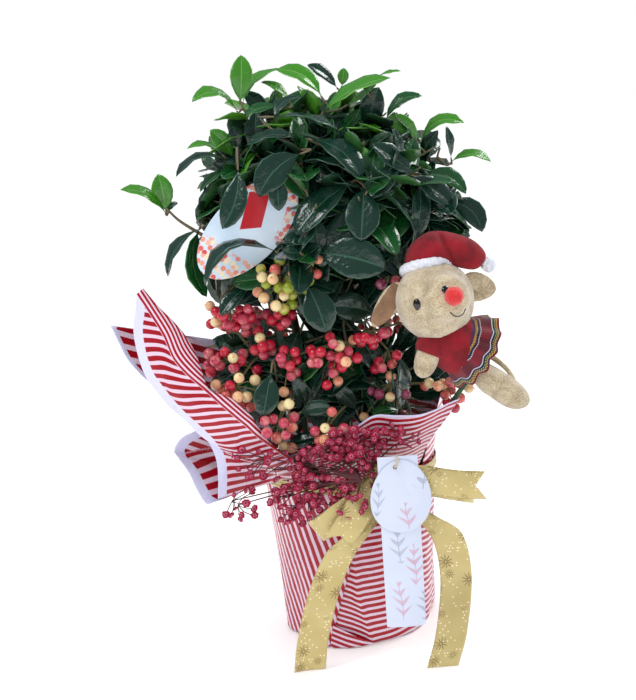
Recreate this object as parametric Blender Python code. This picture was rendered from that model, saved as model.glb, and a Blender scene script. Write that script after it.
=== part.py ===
"""Coral ardisia in a pot, dressed as a gift.

The shrub stands in a plastic pot inside a sleeve of striped wrapping paper that is gathered
above the pot and flares into a collar of folded sheets. A gold ribbon ties the neck, dried
flowers, two cards and a plant label go with it, and a plush toy stands on a wooden pick above
the right-hand sheet.
Metres, +Z up, front of the arrangement towards -Y, origin on the floor under the pot's axis.
Lengths below are written in millimetres and turned into metres by MM.
"""
import math
import random

import bmesh
import bpy
from mathutils import Matrix, Vector
from mathutils.bvhtree import BVHTree

MM = 0.001
GAP = 0.3 * MM
FLAT_ANGLE = math.radians(0.03)
UP = Vector((0.0, 0.0, 1.0))

# Pot, soil and the paper sleeve
POT_BASE_RADIUS = 52.5 * MM
POT_TOP_RADIUS = 64.5 * MM
POT_HEIGHT = 126.0 * MM
POT_WALL = 1.6 * MM
POT_RIM_HEIGHT = 12.0 * MM
SOIL_LEVEL = 114.0 * MM
SLEEVE_WALL = 1.2 * MM
SLEEVE_BASE_RADIUS = 57.5 * MM
SLEEVE_TOP_RADIUS = 69.5 * MM
TIE_HEIGHT = 139.0 * MM
PAPER_THICK = 1.2 * MM

# Ribbon and cards
RIBBON_WIDTH = 24.0 * MM
RIBBON_THICK = 0.9 * MM
BAND_HEIGHT = 8.0 * MM
TAG_SIZE = (44.0 * MM, 55.0 * MM)
CARD_SIZE = (29.0 * MM, 131.0 * MM)
CARD_THICK = 0.9 * MM
LABEL_SIZE = (93.0 * MM, 50.0 * MM)
CORD_HOLE = 1.5 * MM
TWINE_RADIUS = 0.7 * MM

# Plant
STEM_FOOT_RADIUS = 5.2 * MM
STEM_RADIUS = 3.8 * MM
STEM_TIP_RADIUS = 2.2 * MM
BOUGH_RADIUS = 2.1 * MM
TWIG_RADIUS = 1.7 * MM
TWIG_TIP_RADIUS = 1.0 * MM
LEAF_LENGTH = 56.0 * MM
LEAF_WIDTH = 0.40
LEAF_THICK = 0.020
LEAF_FOOT = 0.4 * MM
LEAVES_A_SHOOT = 5
STALK_LENGTH = 9.0 * MM
LEAF_ZONE = 34.0 * MM
LEAF_ROOT = 0.12
GOLDEN_TURN = math.radians(137.5)
BERRY_RADIUS = 4.3 * MM
BERRIES_AN_UMBEL = 5
UMBEL_HUB_RADIUS = 2.2 * MM
PEDICEL_LENGTH = 12.5 * MM
CROWN_CENTRE = Vector((0.0, 0.0, 0.290))

# Toy
HEAD_CENTRE = Vector((69.0, -97.0, 279.0)) * MM
HEAD_RADIUS = 28.0 * MM
PICK_RADIUS = 2.0 * MM
PICK_FOOT = (26.0 * MM, -34.0 * MM)
TOY_FACING = Vector((0.255, -0.95, 0.175)).normalized()
BODY_AXIS = Vector((0.62, 0.06, -0.78)).normalized()

SLEEVE_RED = (0.62, 0.05, 0.07)
PAPER_WHITE = (0.86, 0.84, 0.90)
GOLD = (0.72, 0.56, 0.24)
CARD_WHITE = (0.84, 0.85, 0.90)
LEAF_GREEN = (0.03, 0.11, 0.04)
BARK = (0.16, 0.12, 0.06)
BERRY_RED = (0.72, 0.06, 0.09)
BERRY_GREEN = (0.55, 0.60, 0.14)
DRIED_PINK = (0.52, 0.06, 0.16)
PLUSH = (0.70, 0.58, 0.38)
FELT_RED = (0.55, 0.02, 0.05)
FELT_WHITE = (0.85, 0.86, 0.92)


def clear_scene():
    for old in list(bpy.data.objects):
        bpy.data.objects.remove(old, do_unlink=True)


def millimetres(*values):
    return Vector(values) * MM


def mix(start, end, share):
    return start + (end - start) * share


def finish(name, mesh, colour, roughness=0.6, metallic=0.0):
    """Put a mesh in the scene as one named object with its own material."""
    material = bpy.data.materials.new(name)
    material.use_nodes = True
    shader = material.node_tree.nodes["Principled BSDF"]
    shader.inputs["Base Color"].default_value = (*colour, 1.0)
    shader.inputs["Roughness"].default_value = roughness
    shader.inputs["Metallic"].default_value = metallic
    mesh.materials.clear()
    mesh.materials.append(material)
    made = bpy.data.objects.new(name, mesh)
    bpy.context.scene.collection.objects.link(made)
    return made


def mesh_of(name, shell):
    """A mesh from a (points, faces) pair, with its faces turned outwards."""
    points, faces = shell
    mesh = bpy.data.meshes.new(name)
    mesh.from_pydata([tuple(point) for point in points], [], faces)
    edit = bmesh.new()
    edit.from_mesh(mesh)
    bmesh.ops.recalc_face_normals(edit, faces=edit.faces)
    edit.to_mesh(mesh)
    edit.free()
    return mesh


def smooth_curve(points, count):
    """Points read evenly, by chord length, from a Catmull-Rom curve through the given ones."""
    ends = [points[0] * 2 - points[1], *points, points[-1] * 2 - points[-2]]
    fine = []
    for index in range(1, len(ends) - 2):
        before, start, end, after = ends[index - 1:index + 3]
        for step in range(12):
            t = step / 12
            fine.append(0.5 * (2 * start + (end - before) * t
                               + (2 * before - 5 * start + 4 * end - after) * t * t
                               + (3 * start - before - 3 * end + after) * t ** 3))
    fine.append(points[-1].copy())
    reach = [0.0]
    for start, end in zip(fine, fine[1:]):
        reach.append(reach[-1] + (end - start).length)
    picked = []
    at = 0
    for index in range(count):
        wanted = reach[-1] * index / (count - 1)
        while at < len(reach) - 2 and reach[at + 1] < wanted:
            at += 1
        share = (wanted - reach[at]) / (reach[at + 1] - reach[at])
        picked.append(mix(fine[at], fine[at + 1], share))
    return picked


def frames_along(path):
    """The tangent and two cross directions at each point, carried along without twist."""
    side = None
    frames = []
    for index in range(len(path)):
        ahead = path[min(index + 1, len(path) - 1)] - path[max(index - 1, 0)]
        ahead.normalize()
        if side is None:
            side = ahead.orthogonal().normalized()
        side = (side - ahead * side.dot(ahead)).normalized()
        frames.append((ahead, side, ahead.cross(side)))
    return frames


def tube(path, radii, sides):
    """A closed tube of a few sides round a path, with flat ends."""
    points = []
    for centre, radius, (ahead, side, across) in zip(path, radii, frames_along(path)):
        for corner in range(sides):
            turn = math.tau * corner / sides
            points.append(centre + (side * math.cos(turn) + across * math.sin(turn)) * radius)
    faces = [tuple(range(sides))]
    for ring in range(len(path) - 1):
        for corner in range(sides):
            following = (corner + 1) % sides
            low = ring * sides
            high = low + sides
            faces.append((low + corner, low + following, high + following, high + corner))
    last = (len(path) - 1) * sides
    faces.append(tuple(last + corner for corner in range(sides)))
    return points, faces


def taper(first, last, count):
    return [mix(first, last, index / (count - 1)) for index in range(count)]


def ball(centre, radius, level=1):
    """An icosphere of the given subdivision level as a (points, faces) pair."""
    edit = bmesh.new()
    bmesh.ops.create_icosphere(edit, subdivisions=level, radius=radius)
    points = [centre + corner.co for corner in edit.verts]
    faces = [tuple(corner.index for corner in face.verts) for face in edit.faces]
    edit.free()
    return points, faces


def egg(centre, axis, radii, level=2):
    """A ball stretched along an axis: radii are along the axis and across it."""
    turn = axis.normalized().to_track_quat("Z", "Y")
    points, faces = ball(Vector(), 1.0, level)
    along, across = radii
    stretched = [centre + turn @ Vector((p.x * across, p.y * across, p.z * along)) for p in points]
    return stretched, faces


def lathe(profile, segments):
    """A profile of (radius, height) pairs spun round the Z axis into a closed mesh."""
    edit = bmesh.new()
    corners = [edit.verts.new((radius, 0.0, height)) for radius, height in profile]
    edges = [edit.edges.new(pair) for pair in zip(corners, corners[1:])]
    if profile[0][0] > 0.0:
        edges.append(edit.edges.new((corners[-1], corners[0])))
    bmesh.ops.spin(edit, geom=corners + edges, cent=(0, 0, 0), axis=(0, 0, 1),
                   angle=math.tau, steps=segments, use_merge=True)
    bmesh.ops.remove_doubles(edit, verts=edit.verts, dist=0.01 * MM)
    bmesh.ops.dissolve_degenerate(edit, edges=edit.edges, dist=0.001 * MM)
    bmesh.ops.recalc_face_normals(edit, faces=edit.faces)
    mesh = bpy.data.meshes.new("turned")
    edit.to_mesh(mesh)
    edit.free()
    return mesh


def coons(low, high, left, right):
    """A grid of points that fills four boundary curves; rows run from low to high."""
    rows = len(left) - 1
    columns = len(low) - 1
    grid = []
    for row in range(rows + 1):
        v = row / rows
        line = []
        for column in range(columns + 1):
            u = column / columns
            ruled = mix(low[column], high[column], v) + mix(left[row], right[row], u)
            corners = mix(mix(low[0], low[-1], u), mix(high[0], high[-1], u), v)
            line.append(ruled - corners)
        grid.append(line)
    return grid


def sheet(grid, thickness):
    """A closed solid of even thickness round a grid of points."""
    rows = len(grid)
    columns = len(grid[0])
    front = []
    back = []
    for row in range(rows):
        for column in range(columns):
            along = grid[row][min(column + 1, columns - 1)] - grid[row][max(column - 1, 0)]
            rise = grid[min(row + 1, rows - 1)][column] - grid[max(row - 1, 0)][column]
            offset = along.cross(rise).normalized() * (thickness / 2)
            front.append(grid[row][column] + offset)
            back.append(grid[row][column] - offset)
    shift = rows * columns
    faces = []
    for row in range(rows - 1):
        for column in range(columns - 1):
            a = row * columns + column
            b, c, d = a + 1, a + columns + 1, a + columns
            faces.append((a, b, c, d))
            faces.append((a + shift, d + shift, c + shift, b + shift))
    rim = [column for column in range(columns)]
    rim += [row * columns + columns - 1 for row in range(1, rows)]
    rim += [(rows - 1) * columns + column for column in range(columns - 2, -1, -1)]
    rim += [row * columns for row in range(rows - 2, 0, -1)]
    for start, end in zip(rim, rim[1:] + rim[:1]):
        faces.append((start, end, end + shift, start + shift))
    return front + back, faces


def strip(path, across, width, thickness, notch=0.0, gathered=1.0):
    """A ribbon along a path; across gives its width direction at each point.

    Gathered is the share of its width that it starts with.
    """
    grid = []
    for index, (centre, direction) in enumerate(zip(path, across)):
        spread = mix(gathered, 1.0, min(1.0, 3.0 * index / (len(path) - 1)))
        half = direction.normalized() * (width * spread / 2)
        middle = centre.copy()
        if index == len(path) - 1 and notch:
            middle = mix(centre, path[-2], notch)
        grid.append([centre - half, middle, centre + half])
    return sheet(grid, thickness)


def baked(thing):
    """The mesh of an object with its modifiers applied."""
    graph = bpy.context.evaluated_depsgraph_get()
    return bpy.data.meshes.new_from_object(thing.evaluated_get(graph), depsgraph=graph)


def is_closed(mesh):
    """Whether each edge is shared by exactly two faces."""
    edit = bmesh.new()
    edit.from_mesh(mesh)
    closed = bool(edit.faces) and all(len(edge.link_faces) == 2 for edge in edit.edges)
    edit.free()
    return closed


def largest_body(mesh, merge=0.002 * MM):
    """Keep the body of the greatest volume: loose scraps go and sealed hollows are filled."""
    edit = bmesh.new()
    edit.from_mesh(mesh)
    bmesh.ops.triangulate(edit, faces=edit.faces)
    bmesh.ops.remove_doubles(edit, verts=edit.verts, dist=merge)
    bmesh.ops.dissolve_degenerate(edit, edges=edit.edges, dist=merge)
    bmesh.ops.dissolve_limit(edit, angle_limit=FLAT_ANGLE, verts=edit.verts, edges=edit.edges)
    bmesh.ops.triangulate(edit, faces=edit.faces)
    seen = set()
    bodies = []
    for first in edit.faces:
        if first in seen:
            continue
        seen.add(first)
        waiting = [first]
        body = []
        while waiting:
            face = waiting.pop()
            body.append(face)
            for edge in face.edges:
                for other in edge.link_faces:
                    if other not in seen:
                        seen.add(other)
                        waiting.append(other)
        bodies.append(body)

    def volume(body):
        return sum(f.verts[0].co.dot(f.verts[1].co.cross(f.verts[2].co)) for f in body) / 6

    bodies.sort(key=volume, reverse=True)
    for body in bodies[1:]:
        bmesh.ops.delete(edit, geom=body, context="FACES")
    edit.to_mesh(mesh)
    edit.free()
    return mesh


def fuse(name, shells):
    """Join closed shells into one body by one Boolean union on a collection.

    MANIFOLD takes over where EXACT leaves an edge open.
    """
    group = bpy.data.collections.new(name + "_pieces")
    bpy.context.scene.collection.children.link(group)
    first = bpy.data.objects.new(name + "_first", mesh_of(name, shells[0]))
    bpy.context.scene.collection.objects.link(first)
    for shell in shells[1:]:
        group.objects.link(bpy.data.objects.new(name + "_piece", mesh_of(name, shell)))
    union = first.modifiers.new("union", "BOOLEAN")
    union.operation = "UNION"
    union.operand_type = "COLLECTION"
    union.collection = group
    for solver, merge in (("EXACT", 0.002 * MM), ("MANIFOLD", 0.002 * MM),
                          ("EXACT", 0.0002 * MM), ("MANIFOLD", 0.0002 * MM)):
        union.solver = solver
        joined = largest_body(baked(first), merge)
        if is_closed(joined):
            break
    for piece in [*group.objects, first]:
        bpy.data.objects.remove(piece, do_unlink=True)
    bpy.data.collections.remove(group)
    joined.name = name
    return joined


def cut_clear(mesh, *others, clearance=GAP):
    """Cut a mesh so that it stays a clearance away from each of the other meshes."""
    for other in others:
        fat = other.copy()
        shifts = [corner.co + corner.normal * (clearance * 1.15) for corner in other.vertices]
        for corner, place in zip(fat.vertices, shifts):
            corner.co = place
        cutter = bpy.data.objects.new("cutter", fat)
        target = bpy.data.objects.new("target", mesh)
        bpy.context.scene.collection.objects.link(cutter)
        bpy.context.scene.collection.objects.link(target)
        cut = target.modifiers.new("cut", "BOOLEAN")
        cut.operation = "DIFFERENCE"
        cut.object = cutter
        mesh = largest_body(baked(target))
        bpy.data.objects.remove(cutter, do_unlink=True)
        bpy.data.objects.remove(target, do_unlink=True)
    return mesh


class Space:
    """What is already in the arrangement, so that a new twig, leaf or berry stays clear of it."""

    def __init__(self):
        self.taken = []

    @staticmethod
    def limits(points):
        low = [min(point[axis] for point in points) for axis in range(3)]
        high = [max(point[axis] for point in points) for axis in range(3)]
        return low, high

    def add(self, owner, shell):
        points, faces = shell
        tree = BVHTree.FromPolygons([tuple(point) for point in points], faces)
        self.taken.append((owner, self.limits(points), tree))

    def add_mesh(self, owner, mesh):
        points = [corner.co.copy() for corner in mesh.vertices]
        faces = [tuple(face.vertices) for face in mesh.polygons]
        self.add(owner, (points, faces))

    def touches(self, owner, shell):
        points, faces = shell
        low, high = self.limits(points)
        tree = None
        for other, (other_low, other_high), other_tree in self.taken:
            if other == owner:
                continue
            if any(low[i] > other_high[i] or high[i] < other_low[i] for i in range(3)):
                continue
            if tree is None:
                tree = BVHTree.FromPolygons([tuple(point) for point in points], faces)
            if tree.overlap(other_tree):
                return True
        return False


# Pot, soil and sleeve

def make_pot():
    foot = SLEEVE_WALL + GAP
    top = foot + POT_HEIGHT
    rim = top - POT_RIM_HEIGHT
    waist = mix(POT_BASE_RADIUS, POT_TOP_RADIUS - 2.0 * MM, (rim - foot) / POT_HEIGHT)
    profile = [(0.0, foot), (POT_BASE_RADIUS, foot), (waist, rim),
               (POT_TOP_RADIUS, rim + 1.0 * MM), (POT_TOP_RADIUS, top),
               (POT_TOP_RADIUS - POT_WALL, top), (waist - POT_WALL, rim - 1.0 * MM),
               (POT_BASE_RADIUS - POT_WALL, foot + 2.0 * MM), (0.0, foot + 2.0 * MM)]
    pot = lathe(profile, 32)
    finish("pot", pot, (0.05, 0.04, 0.035), 0.5)
    floor = foot + 2.0 * MM + GAP
    low = POT_BASE_RADIUS - POT_WALL - GAP * 1.5
    slope = (waist - POT_BASE_RADIUS) / (rim - foot)
    high = low + slope * (SOIL_LEVEL - floor)
    soil = lathe([(0.0, floor), (low, floor), (high, SOIL_LEVEL - 3.0 * MM),
                  (high * 0.6, SOIL_LEVEL), (0.0, SOIL_LEVEL)], 24)
    finish("soil", soil, (0.06, 0.04, 0.025), 0.95)
    return pot, soil


SLEEVE_SEGMENTS = 24
SLEEVE_CORNERS = {195: 5.0, 240: 8.0, 15: 7.0, 105: 6.0}
CORNER_REACH = 85.0 * MM


def sleeve_radius(turn, height):
    """Outer radius of the sleeve: a cone with pinched corners where the paper is folded under."""
    radius = mix(SLEEVE_BASE_RADIUS, SLEEVE_TOP_RADIUS, (height / TIE_HEIGHT) ** 0.9)
    fade = max(0.0, 1.0 - height / CORNER_REACH)
    for corner, depth in SLEEVE_CORNERS.items():
        away = abs((turn - corner + 180.0) % 360.0 - 180.0)
        radius += depth * MM * fade * max(0.0, 1.0 - away / 21.0)
    return radius


def make_sleeve():
    levels = [0.0, 45.0 * MM, 90.0 * MM, TIE_HEIGHT]
    edit = bmesh.new()
    rings = []
    for wall in (0.0, SLEEVE_WALL):
        for level in levels:
            height = SLEEVE_WALL if wall and level == 0.0 else level
            ring = []
            for segment in range(SLEEVE_SEGMENTS):
                turn = 360.0 * segment / SLEEVE_SEGMENTS
                radius = sleeve_radius(turn, level) - wall
                angle = math.radians(turn)
                ring.append(edit.verts.new((radius * math.cos(angle),
                                            radius * math.sin(angle), height)))
            rings.append(ring)
    outer = rings[:len(levels)]
    inner = rings[len(levels):]
    order = outer + inner[::-1]
    for low, high in zip(order, order[1:]):
        for segment in range(SLEEVE_SEGMENTS):
            following = (segment + 1) % SLEEVE_SEGMENTS
            edit.faces.new((low[segment], low[following], high[following], high[segment]))
    edit.faces.new(outer[0])
    edit.faces.new(inner[0])
    bmesh.ops.recalc_face_normals(edit, faces=edit.faces)
    mesh = bpy.data.meshes.new("wrap_sleeve")
    edit.to_mesh(mesh)
    edit.free()
    finish("wrap_sleeve", mesh, SLEEVE_RED, 0.3)
    return mesh


# Collar: five folded sheets that rise from the tie

COLLAR_FOOT = TIE_HEIGHT + 1.0 * MM
COLLAR_FOOT_RADIUS = SLEEVE_TOP_RADIUS - SLEEVE_WALL / 2


def neck_point(turn):
    angle = math.radians(turn)
    return Vector((COLLAR_FOOT_RADIUS * math.cos(angle),
                   COLLAR_FOOT_RADIUS * math.sin(angle), COLLAR_FOOT))


def neck_arc(first, last, count):
    return [neck_point(mix(first, last, index / (count - 1))) for index in range(count)]


FRONT_NOTCH = millimetres(-34, -95, 161)
LEFT_TIP = millimetres(-146, -72, 301)
LEFT_LOW_CORNER = millimetres(-98, -82, 144)
CREASE = [neck_point(249), FRONT_NOTCH, millimetres(-59, -96, 184), millimetres(-100, -92, 226),
          millimetres(-127, -82, 275), LEFT_TIP]
LEFT_BORDER = [LEFT_LOW_CORNER, millimetres(-101, -87, 166), millimetres(-112, -90, 188),
               millimetres(-133, -88, 213), millimetres(-151, -84, 236),
               millimetres(-156, -78, 262), LEFT_TIP]
BAND_DIRECTION = Vector((0.75, 0.35, 0.55)).normalized()
BAND_WIDTHS = [0.8, 1.2, 5.0, 8.0, 6.0, 3.0, 9.0, 16.0, 17.0, 10.0, 3.0]

SHEET_COLUMNS = 5
SHEET_ROWS = 10


def make_wing_front_left():
    low = neck_arc(222, 249, SHEET_COLUMNS + 1)
    high = smooth_curve(LEFT_BORDER, SHEET_COLUMNS + 1)
    left = smooth_curve([neck_point(222), millimetres(-72, -72, 142), LEFT_LOW_CORNER],
                        SHEET_ROWS + 1)
    right = smooth_curve(CREASE, SHEET_ROWS + 1)
    grid = coons(low, high, left, right)
    for line, width in zip(grid, BAND_WIDTHS):
        crease = line[-1]
        line.append(crease + BAND_DIRECTION * (width * MM * 0.5))
        line.append(crease + BAND_DIRECTION * (width * MM))
    return mesh_of("wing", sheet(grid, PAPER_THICK))


def make_patch(turns, low_edge, outer_edge, high_edge, columns, rows):
    """A collar sheet from the neck between two turns out to its edges."""
    low = neck_arc(turns[0], turns[1], columns + 1)
    high = smooth_curve(outer_edge, columns + 1)
    left = smooth_curve([low[0], *low_edge, outer_edge[0]], rows + 1)
    right = smooth_curve([low[-1], *high_edge, outer_edge[-1]], rows + 1)
    return mesh_of("sheet", sheet(coons(low, high, left, right), PAPER_THICK))


def make_collar():
    sheets = {
        "wing_front_left": make_wing_front_left(),
        "pleat_left": make_patch(
            (219, 196),
            [millimetres(-82, -58, 138)],
            [millimetres(-112, -72, 134), millimetres(-123, -64, 151),
             millimetres(-135, -57, 172), millimetres(-114, -56, 189)],
            [millimetres(-88, -36, 158)], 4, 4),
        "collar_back_left": make_patch(
            (193, 112),
            [millimetres(-112, -25, 178), millimetres(-147, -32, 214),
             millimetres(-160, -30, 232)],
            [millimetres(-172, -20, 266), millimetres(-122, 20, 246),
             millimetres(-78, 55, 228), millimetres(-36, 86, 214)],
            [millimetres(-34, 78, 178)], 6, 5),
        "collar_back_right": make_patch(
            (109, -35),
            [millimetres(-27, 82, 176)],
            [millimetres(-28, 90, 212), millimetres(24, 98, 208), millimetres(68, 68, 200),
             millimetres(84, 20, 194), millimetres(76, -26, 186)],
            [millimetres(64, -36, 162)], 9, 3),
        "wing_front_right": make_patch(
            (257, 318),
            [millimetres(-30, -81, 160)],
            [millimetres(-47, -88, 180), millimetres(-33, -89, 171), millimetres(-11, -92, 179),
             millimetres(5, -95, 189), millimetres(20, -96, 197), millimetres(38, -95, 195),
             millimetres(58, -90, 194), millimetres(81, -80, 200)],
            [millimetres(58, -66, 164), millimetres(70, -75, 183)], 10, 4),
    }
    for name, mesh in sheets.items():
        finish(name, mesh, PAPER_WHITE if "pleat" in name else SLEEVE_RED, 0.3)
    return sheets


# Ribbon

KNOT_CENTRE = millimetres(24, -99, 151)
KNOT_SIZE = millimetres(17, 9, 22)


def make_ribbon():
    inner = SLEEVE_TOP_RADIUS + GAP * 1.5
    top = TIE_HEIGHT - 1.0 * MM
    bottom = top - BAND_HEIGHT
    band = lathe([(inner + RIBBON_THICK, bottom), (inner + RIBBON_THICK, top), (inner, top),
                  (inner, bottom)], 24)
    finish("ribbon_band", band, GOLD, 0.35, 0.6)
    knot = bpy.data.meshes.new("knot")
    edit = bmesh.new()
    bmesh.ops.create_cube(edit, size=1.0)
    bmesh.ops.scale(edit, vec=KNOT_SIZE, verts=edit.verts)
    bmesh.ops.translate(edit, vec=KNOT_CENTRE, verts=edit.verts)
    bmesh.ops.bevel(edit, geom=edit.edges, offset=2.6 * MM, segments=2, affect="EDGES",
                    profile=0.5)
    bmesh.ops.recalc_face_normals(edit, faces=edit.faces)
    edit.to_mesh(knot)
    edit.free()
    shells = [([corner.co.copy() for corner in knot.vertices],
               [tuple(face.vertices) for face in knot.polygons])]
    reach = inner + RIBBON_THICK + GAP
    for side in (-1.0, 1.0):
        band_x = KNOT_CENTRE.x + side * 10.0 * MM
        band_end = Vector((band_x, -math.sqrt(reach ** 2 - band_x ** 2), bottom + BAND_HEIGHT / 2))
        knot_end = KNOT_CENTRE + millimetres(side * 3.0, 2.0, -2.0)
        shells.append(strip([knot_end, mix(knot_end, band_end, 0.5), band_end], [UP] * 3,
                            BAND_HEIGHT, RIBBON_THICK))
    knot = fuse("ribbon_knot", shells)
    pieces = {"ribbon_band": band, "ribbon_knot": knot}
    right_side = KNOT_CENTRE.x + KNOT_SIZE.x / 2 + GAP * 2.5
    left_side = KNOT_CENTRE.x - KNOT_SIZE.x / 2 - GAP * 2.5
    z = KNOT_CENTRE.z
    loops = {
        "ribbon_loop_right": (
            [Vector((right_side, KNOT_CENTRE.y + 2.2 * MM, z)), millimetres(52, -106, 146),
             millimetres(78, -104, 138), millimetres(88, -96, 133), millimetres(82, -89, 132),
             millimetres(62, -88, 137), millimetres(46, -91, 144),
             Vector((right_side, KNOT_CENTRE.y + 4.2 * MM, z))],
            Vector((0.05, 0.0, 1.0)), 15),
        "ribbon_loop_left": (
            [Vector((left_side, KNOT_CENTRE.y + 2.2 * MM, z)), millimetres(2, -107, 138),
             millimetres(-20, -108, 122), millimetres(-31, -101, 114), millimetres(-24, -93, 115),
             millimetres(-8, -91, 124), millimetres(6, -92, 136),
             Vector((left_side, KNOT_CENTRE.y + 4.2 * MM, z))],
            Vector((-0.55, 0.0, 0.83)), 15),
    }
    for name, (route, width_direction, count) in loops.items():
        path = smooth_curve(route, count)
        across = [UP.lerp(width_direction, math.sin(math.pi * i / (count - 1)))
                  for i in range(count)]
        pieces[name] = mesh_of(name, strip(path, across, RIBBON_WIDTH * 0.8, RIBBON_THICK))
    ends = {
        "ribbon_end_right": (
            [Vector((right_side, KNOT_CENTRE.y - 2.6 * MM, z + 1 * MM)), millimetres(52, -110, 149),
             millimetres(76, -109, 143), millimetres(97, -104, 139)],
            [Vector((0.0, 0.0, 1.0))] * 9, 9, 0.9),
        "ribbon_end_left": (
            [Vector((left_side, KNOT_CENTRE.y - 2.2 * MM, z - 6 * MM)), millimetres(4, -111, 134),
             millimetres(-6, -113, 121), millimetres(-16, -112, 108)],
            [UP.lerp(Vector((-0.9, 0.0, 0.45)), min(1.0, i / 3)) for i in range(7)], 7, 0.9),
    }
    for name, (route, across, count, notch) in ends.items():
        path = smooth_curve(route, count)
        pieces[name] = mesh_of(name, strip(path, across, RIBBON_WIDTH * 0.9, RIBBON_THICK, notch))
    under = KNOT_CENTRE.z - KNOT_SIZE.z / 2
    tails = {
        "ribbon_tail_left": (
            [Vector((KNOT_CENTRE.x - 3 * MM, -99 * MM, under - GAP * 3)), millimetres(9, -99.5, 118),
             millimetres(-13, -99, 96), millimetres(-29, -99, 64), millimetres(-40, -97, 28),
             millimetres(-45, -95, 1)],
            Vector((1.0, 0.0, 0.0)), Vector((1.0, 0.08, 0.0))),
        "ribbon_tail_right": (
            [Vector((KNOT_CENTRE.x + 4 * MM, -98 * MM, under - GAP * 3)), millimetres(48, -97, 119),
             millimetres(66, -95, 100), millimetres(71, -95, 66), millimetres(64, -103, 26),
             millimetres(55, -109, 1)],
            Vector((1.0, 0.0, 0.0)), Vector((1.0, 0.10, -0.05))),
    }
    for name, (route, across_top, across_low) in tails.items():
        count = 9
        path = smooth_curve(route, count)
        across = [across_top.lerp(across_low, min(1.0, 3.0 * i / (count - 1)))
                  for i in range(count)]
        points, faces = strip(path, across, RIBBON_WIDTH, RIBBON_THICK, gathered=0.28)
        lifted = [Vector((p.x, p.y, max(p.z, GAP))) for p in points]
        pieces[name] = mesh_of(name, (lifted, faces))
    for name, mesh in pieces.items():
        if name != "ribbon_band":
            finish(name, mesh, GOLD, 0.35, 0.6)
    return pieces


# Cards and label

def plate(outline, thickness, place, hole=None):
    """A flat card from a closed outline in its own plane, with an optional round cord hole."""
    edit = bmesh.new()
    rim = [edit.verts.new((x, -thickness / 2, z)) for x, z in outline]
    loops = [edit.edges.new(pair) for pair in zip(rim, rim[1:] + rim[:1])]
    if hole:
        centre_x, centre_z = hole
        ring = []
        for index in range(8):
            turn = math.tau * index / 8
            ring.append(edit.verts.new((centre_x + CORD_HOLE * math.cos(turn), -thickness / 2,
                                        centre_z + CORD_HOLE * math.sin(turn))))
        loops += [edit.edges.new(pair) for pair in zip(ring, ring[1:] + ring[:1])]
    bmesh.ops.triangle_fill(edit, edges=loops, use_beauty=True, use_dissolve=False)
    faces = list(edit.faces)
    made = bmesh.ops.extrude_face_region(edit, geom=faces)
    moved = [item for item in made["geom"] if isinstance(item, bmesh.types.BMVert)]
    bmesh.ops.translate(edit, vec=(0.0, thickness, 0.0), verts=moved)
    bmesh.ops.recalc_face_normals(edit, faces=edit.faces)
    bmesh.ops.transform(edit, matrix=place, verts=edit.verts)
    mesh = bpy.data.meshes.new("plate")
    edit.to_mesh(mesh)
    edit.free()
    return mesh


def round_outline(half_width, half_height, count):
    points = []
    for index in range(count):
        turn = math.tau * index / count
        points.append((half_width * math.cos(turn), half_height * math.sin(turn)))
    return points


TAG_CENTRE = millimetres(33, -117.9, 141)
TAG_HOLE = (-4.7 * MM, 22.0 * MM)
CARD_TOP = millimetres(32.5, -116.5, 171)
CARD_HOLE = (-2.1 * MM, -7.7 * MM)
LABEL_CENTRE = millimetres(-61, -66, 338)
LABEL_STAKE_FOOT = millimetres(-22, -34, 114.3)


def label_frame():
    """The label's long axis, short axis and face normal."""
    long_axis = millimetres(72, 12, 60).normalized()
    face = Vector((-0.12, -0.97, 0.22)).normalized()
    short_axis = face.cross(long_axis).normalized()
    return long_axis, short_axis, short_axis.cross(long_axis).normalized()


def make_cards():
    pieces = {}
    place = Matrix.Translation(TAG_CENTRE) @ Matrix.Rotation(math.radians(5), 4, "Y")
    egg_shape = round_outline(TAG_SIZE[0] / 2, TAG_SIZE[1] / 2, 24)
    pieces["gift_tag"] = plate(egg_shape, CARD_THICK, place, TAG_HOLE)
    width, height = CARD_SIZE
    corners = [(-width / 2, -height), (width / 2, -height), (width / 2, 0.0), (-width / 2, 0.0)]
    card = Matrix.Translation(CARD_TOP) @ Matrix.Rotation(math.radians(1), 4, "Y")
    pieces["long_card"] = plate(corners, CARD_THICK, card, CARD_HOLE)
    long_axis, short_axis, face = label_frame()
    turn = Matrix((long_axis, face, short_axis)).transposed().to_4x4()
    half_length, half_width = LABEL_SIZE[0] / 2, LABEL_SIZE[1] / 2
    oval = plate(round_outline(half_length, half_width, 20), CARD_THICK,
                 Matrix.Translation(LABEL_CENTRE) @ turn)
    oval_points = [corner.co.copy() for corner in oval.vertices]
    oval_faces = [tuple(part.vertices) for part in oval.polygons]
    stake_top = LABEL_CENTRE - short_axis * (4.0 * MM)
    ahead = (stake_top - LABEL_STAKE_FOOT).normalized()
    across = ahead.cross(face).normalized()
    stake = strip([LABEL_STAKE_FOOT, stake_top], [across, across], 5.0 * MM, CARD_THICK * 1.3)
    pieces["plant_label"] = fuse("plant_label", [(oval_points, oval_faces), stake])
    hole = place @ Vector((TAG_HOLE[0], 0.0, TAG_HOLE[1]))
    start = KNOT_CENTRE + Vector((5.0 * MM, -KNOT_SIZE.y / 2 - GAP * 4, 6.0 * MM))
    route = [start, hole + millimetres(-1, 6, -2), hole + millimetres(0, 2.6, 0),
             hole + millimetres(0, -1.8, 0)]
    cord = smooth_curve(route, 9)
    pieces["twine"] = mesh_of("twine", tube(cord, [TWINE_RADIUS] * 9, 6))
    for name in ("gift_tag", "long_card", "plant_label"):
        finish(name, pieces[name], CARD_WHITE, 0.45)
    finish("twine", pieces["twine"], (0.55, 0.45, 0.30), 0.9)
    return pieces


# Toy

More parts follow.
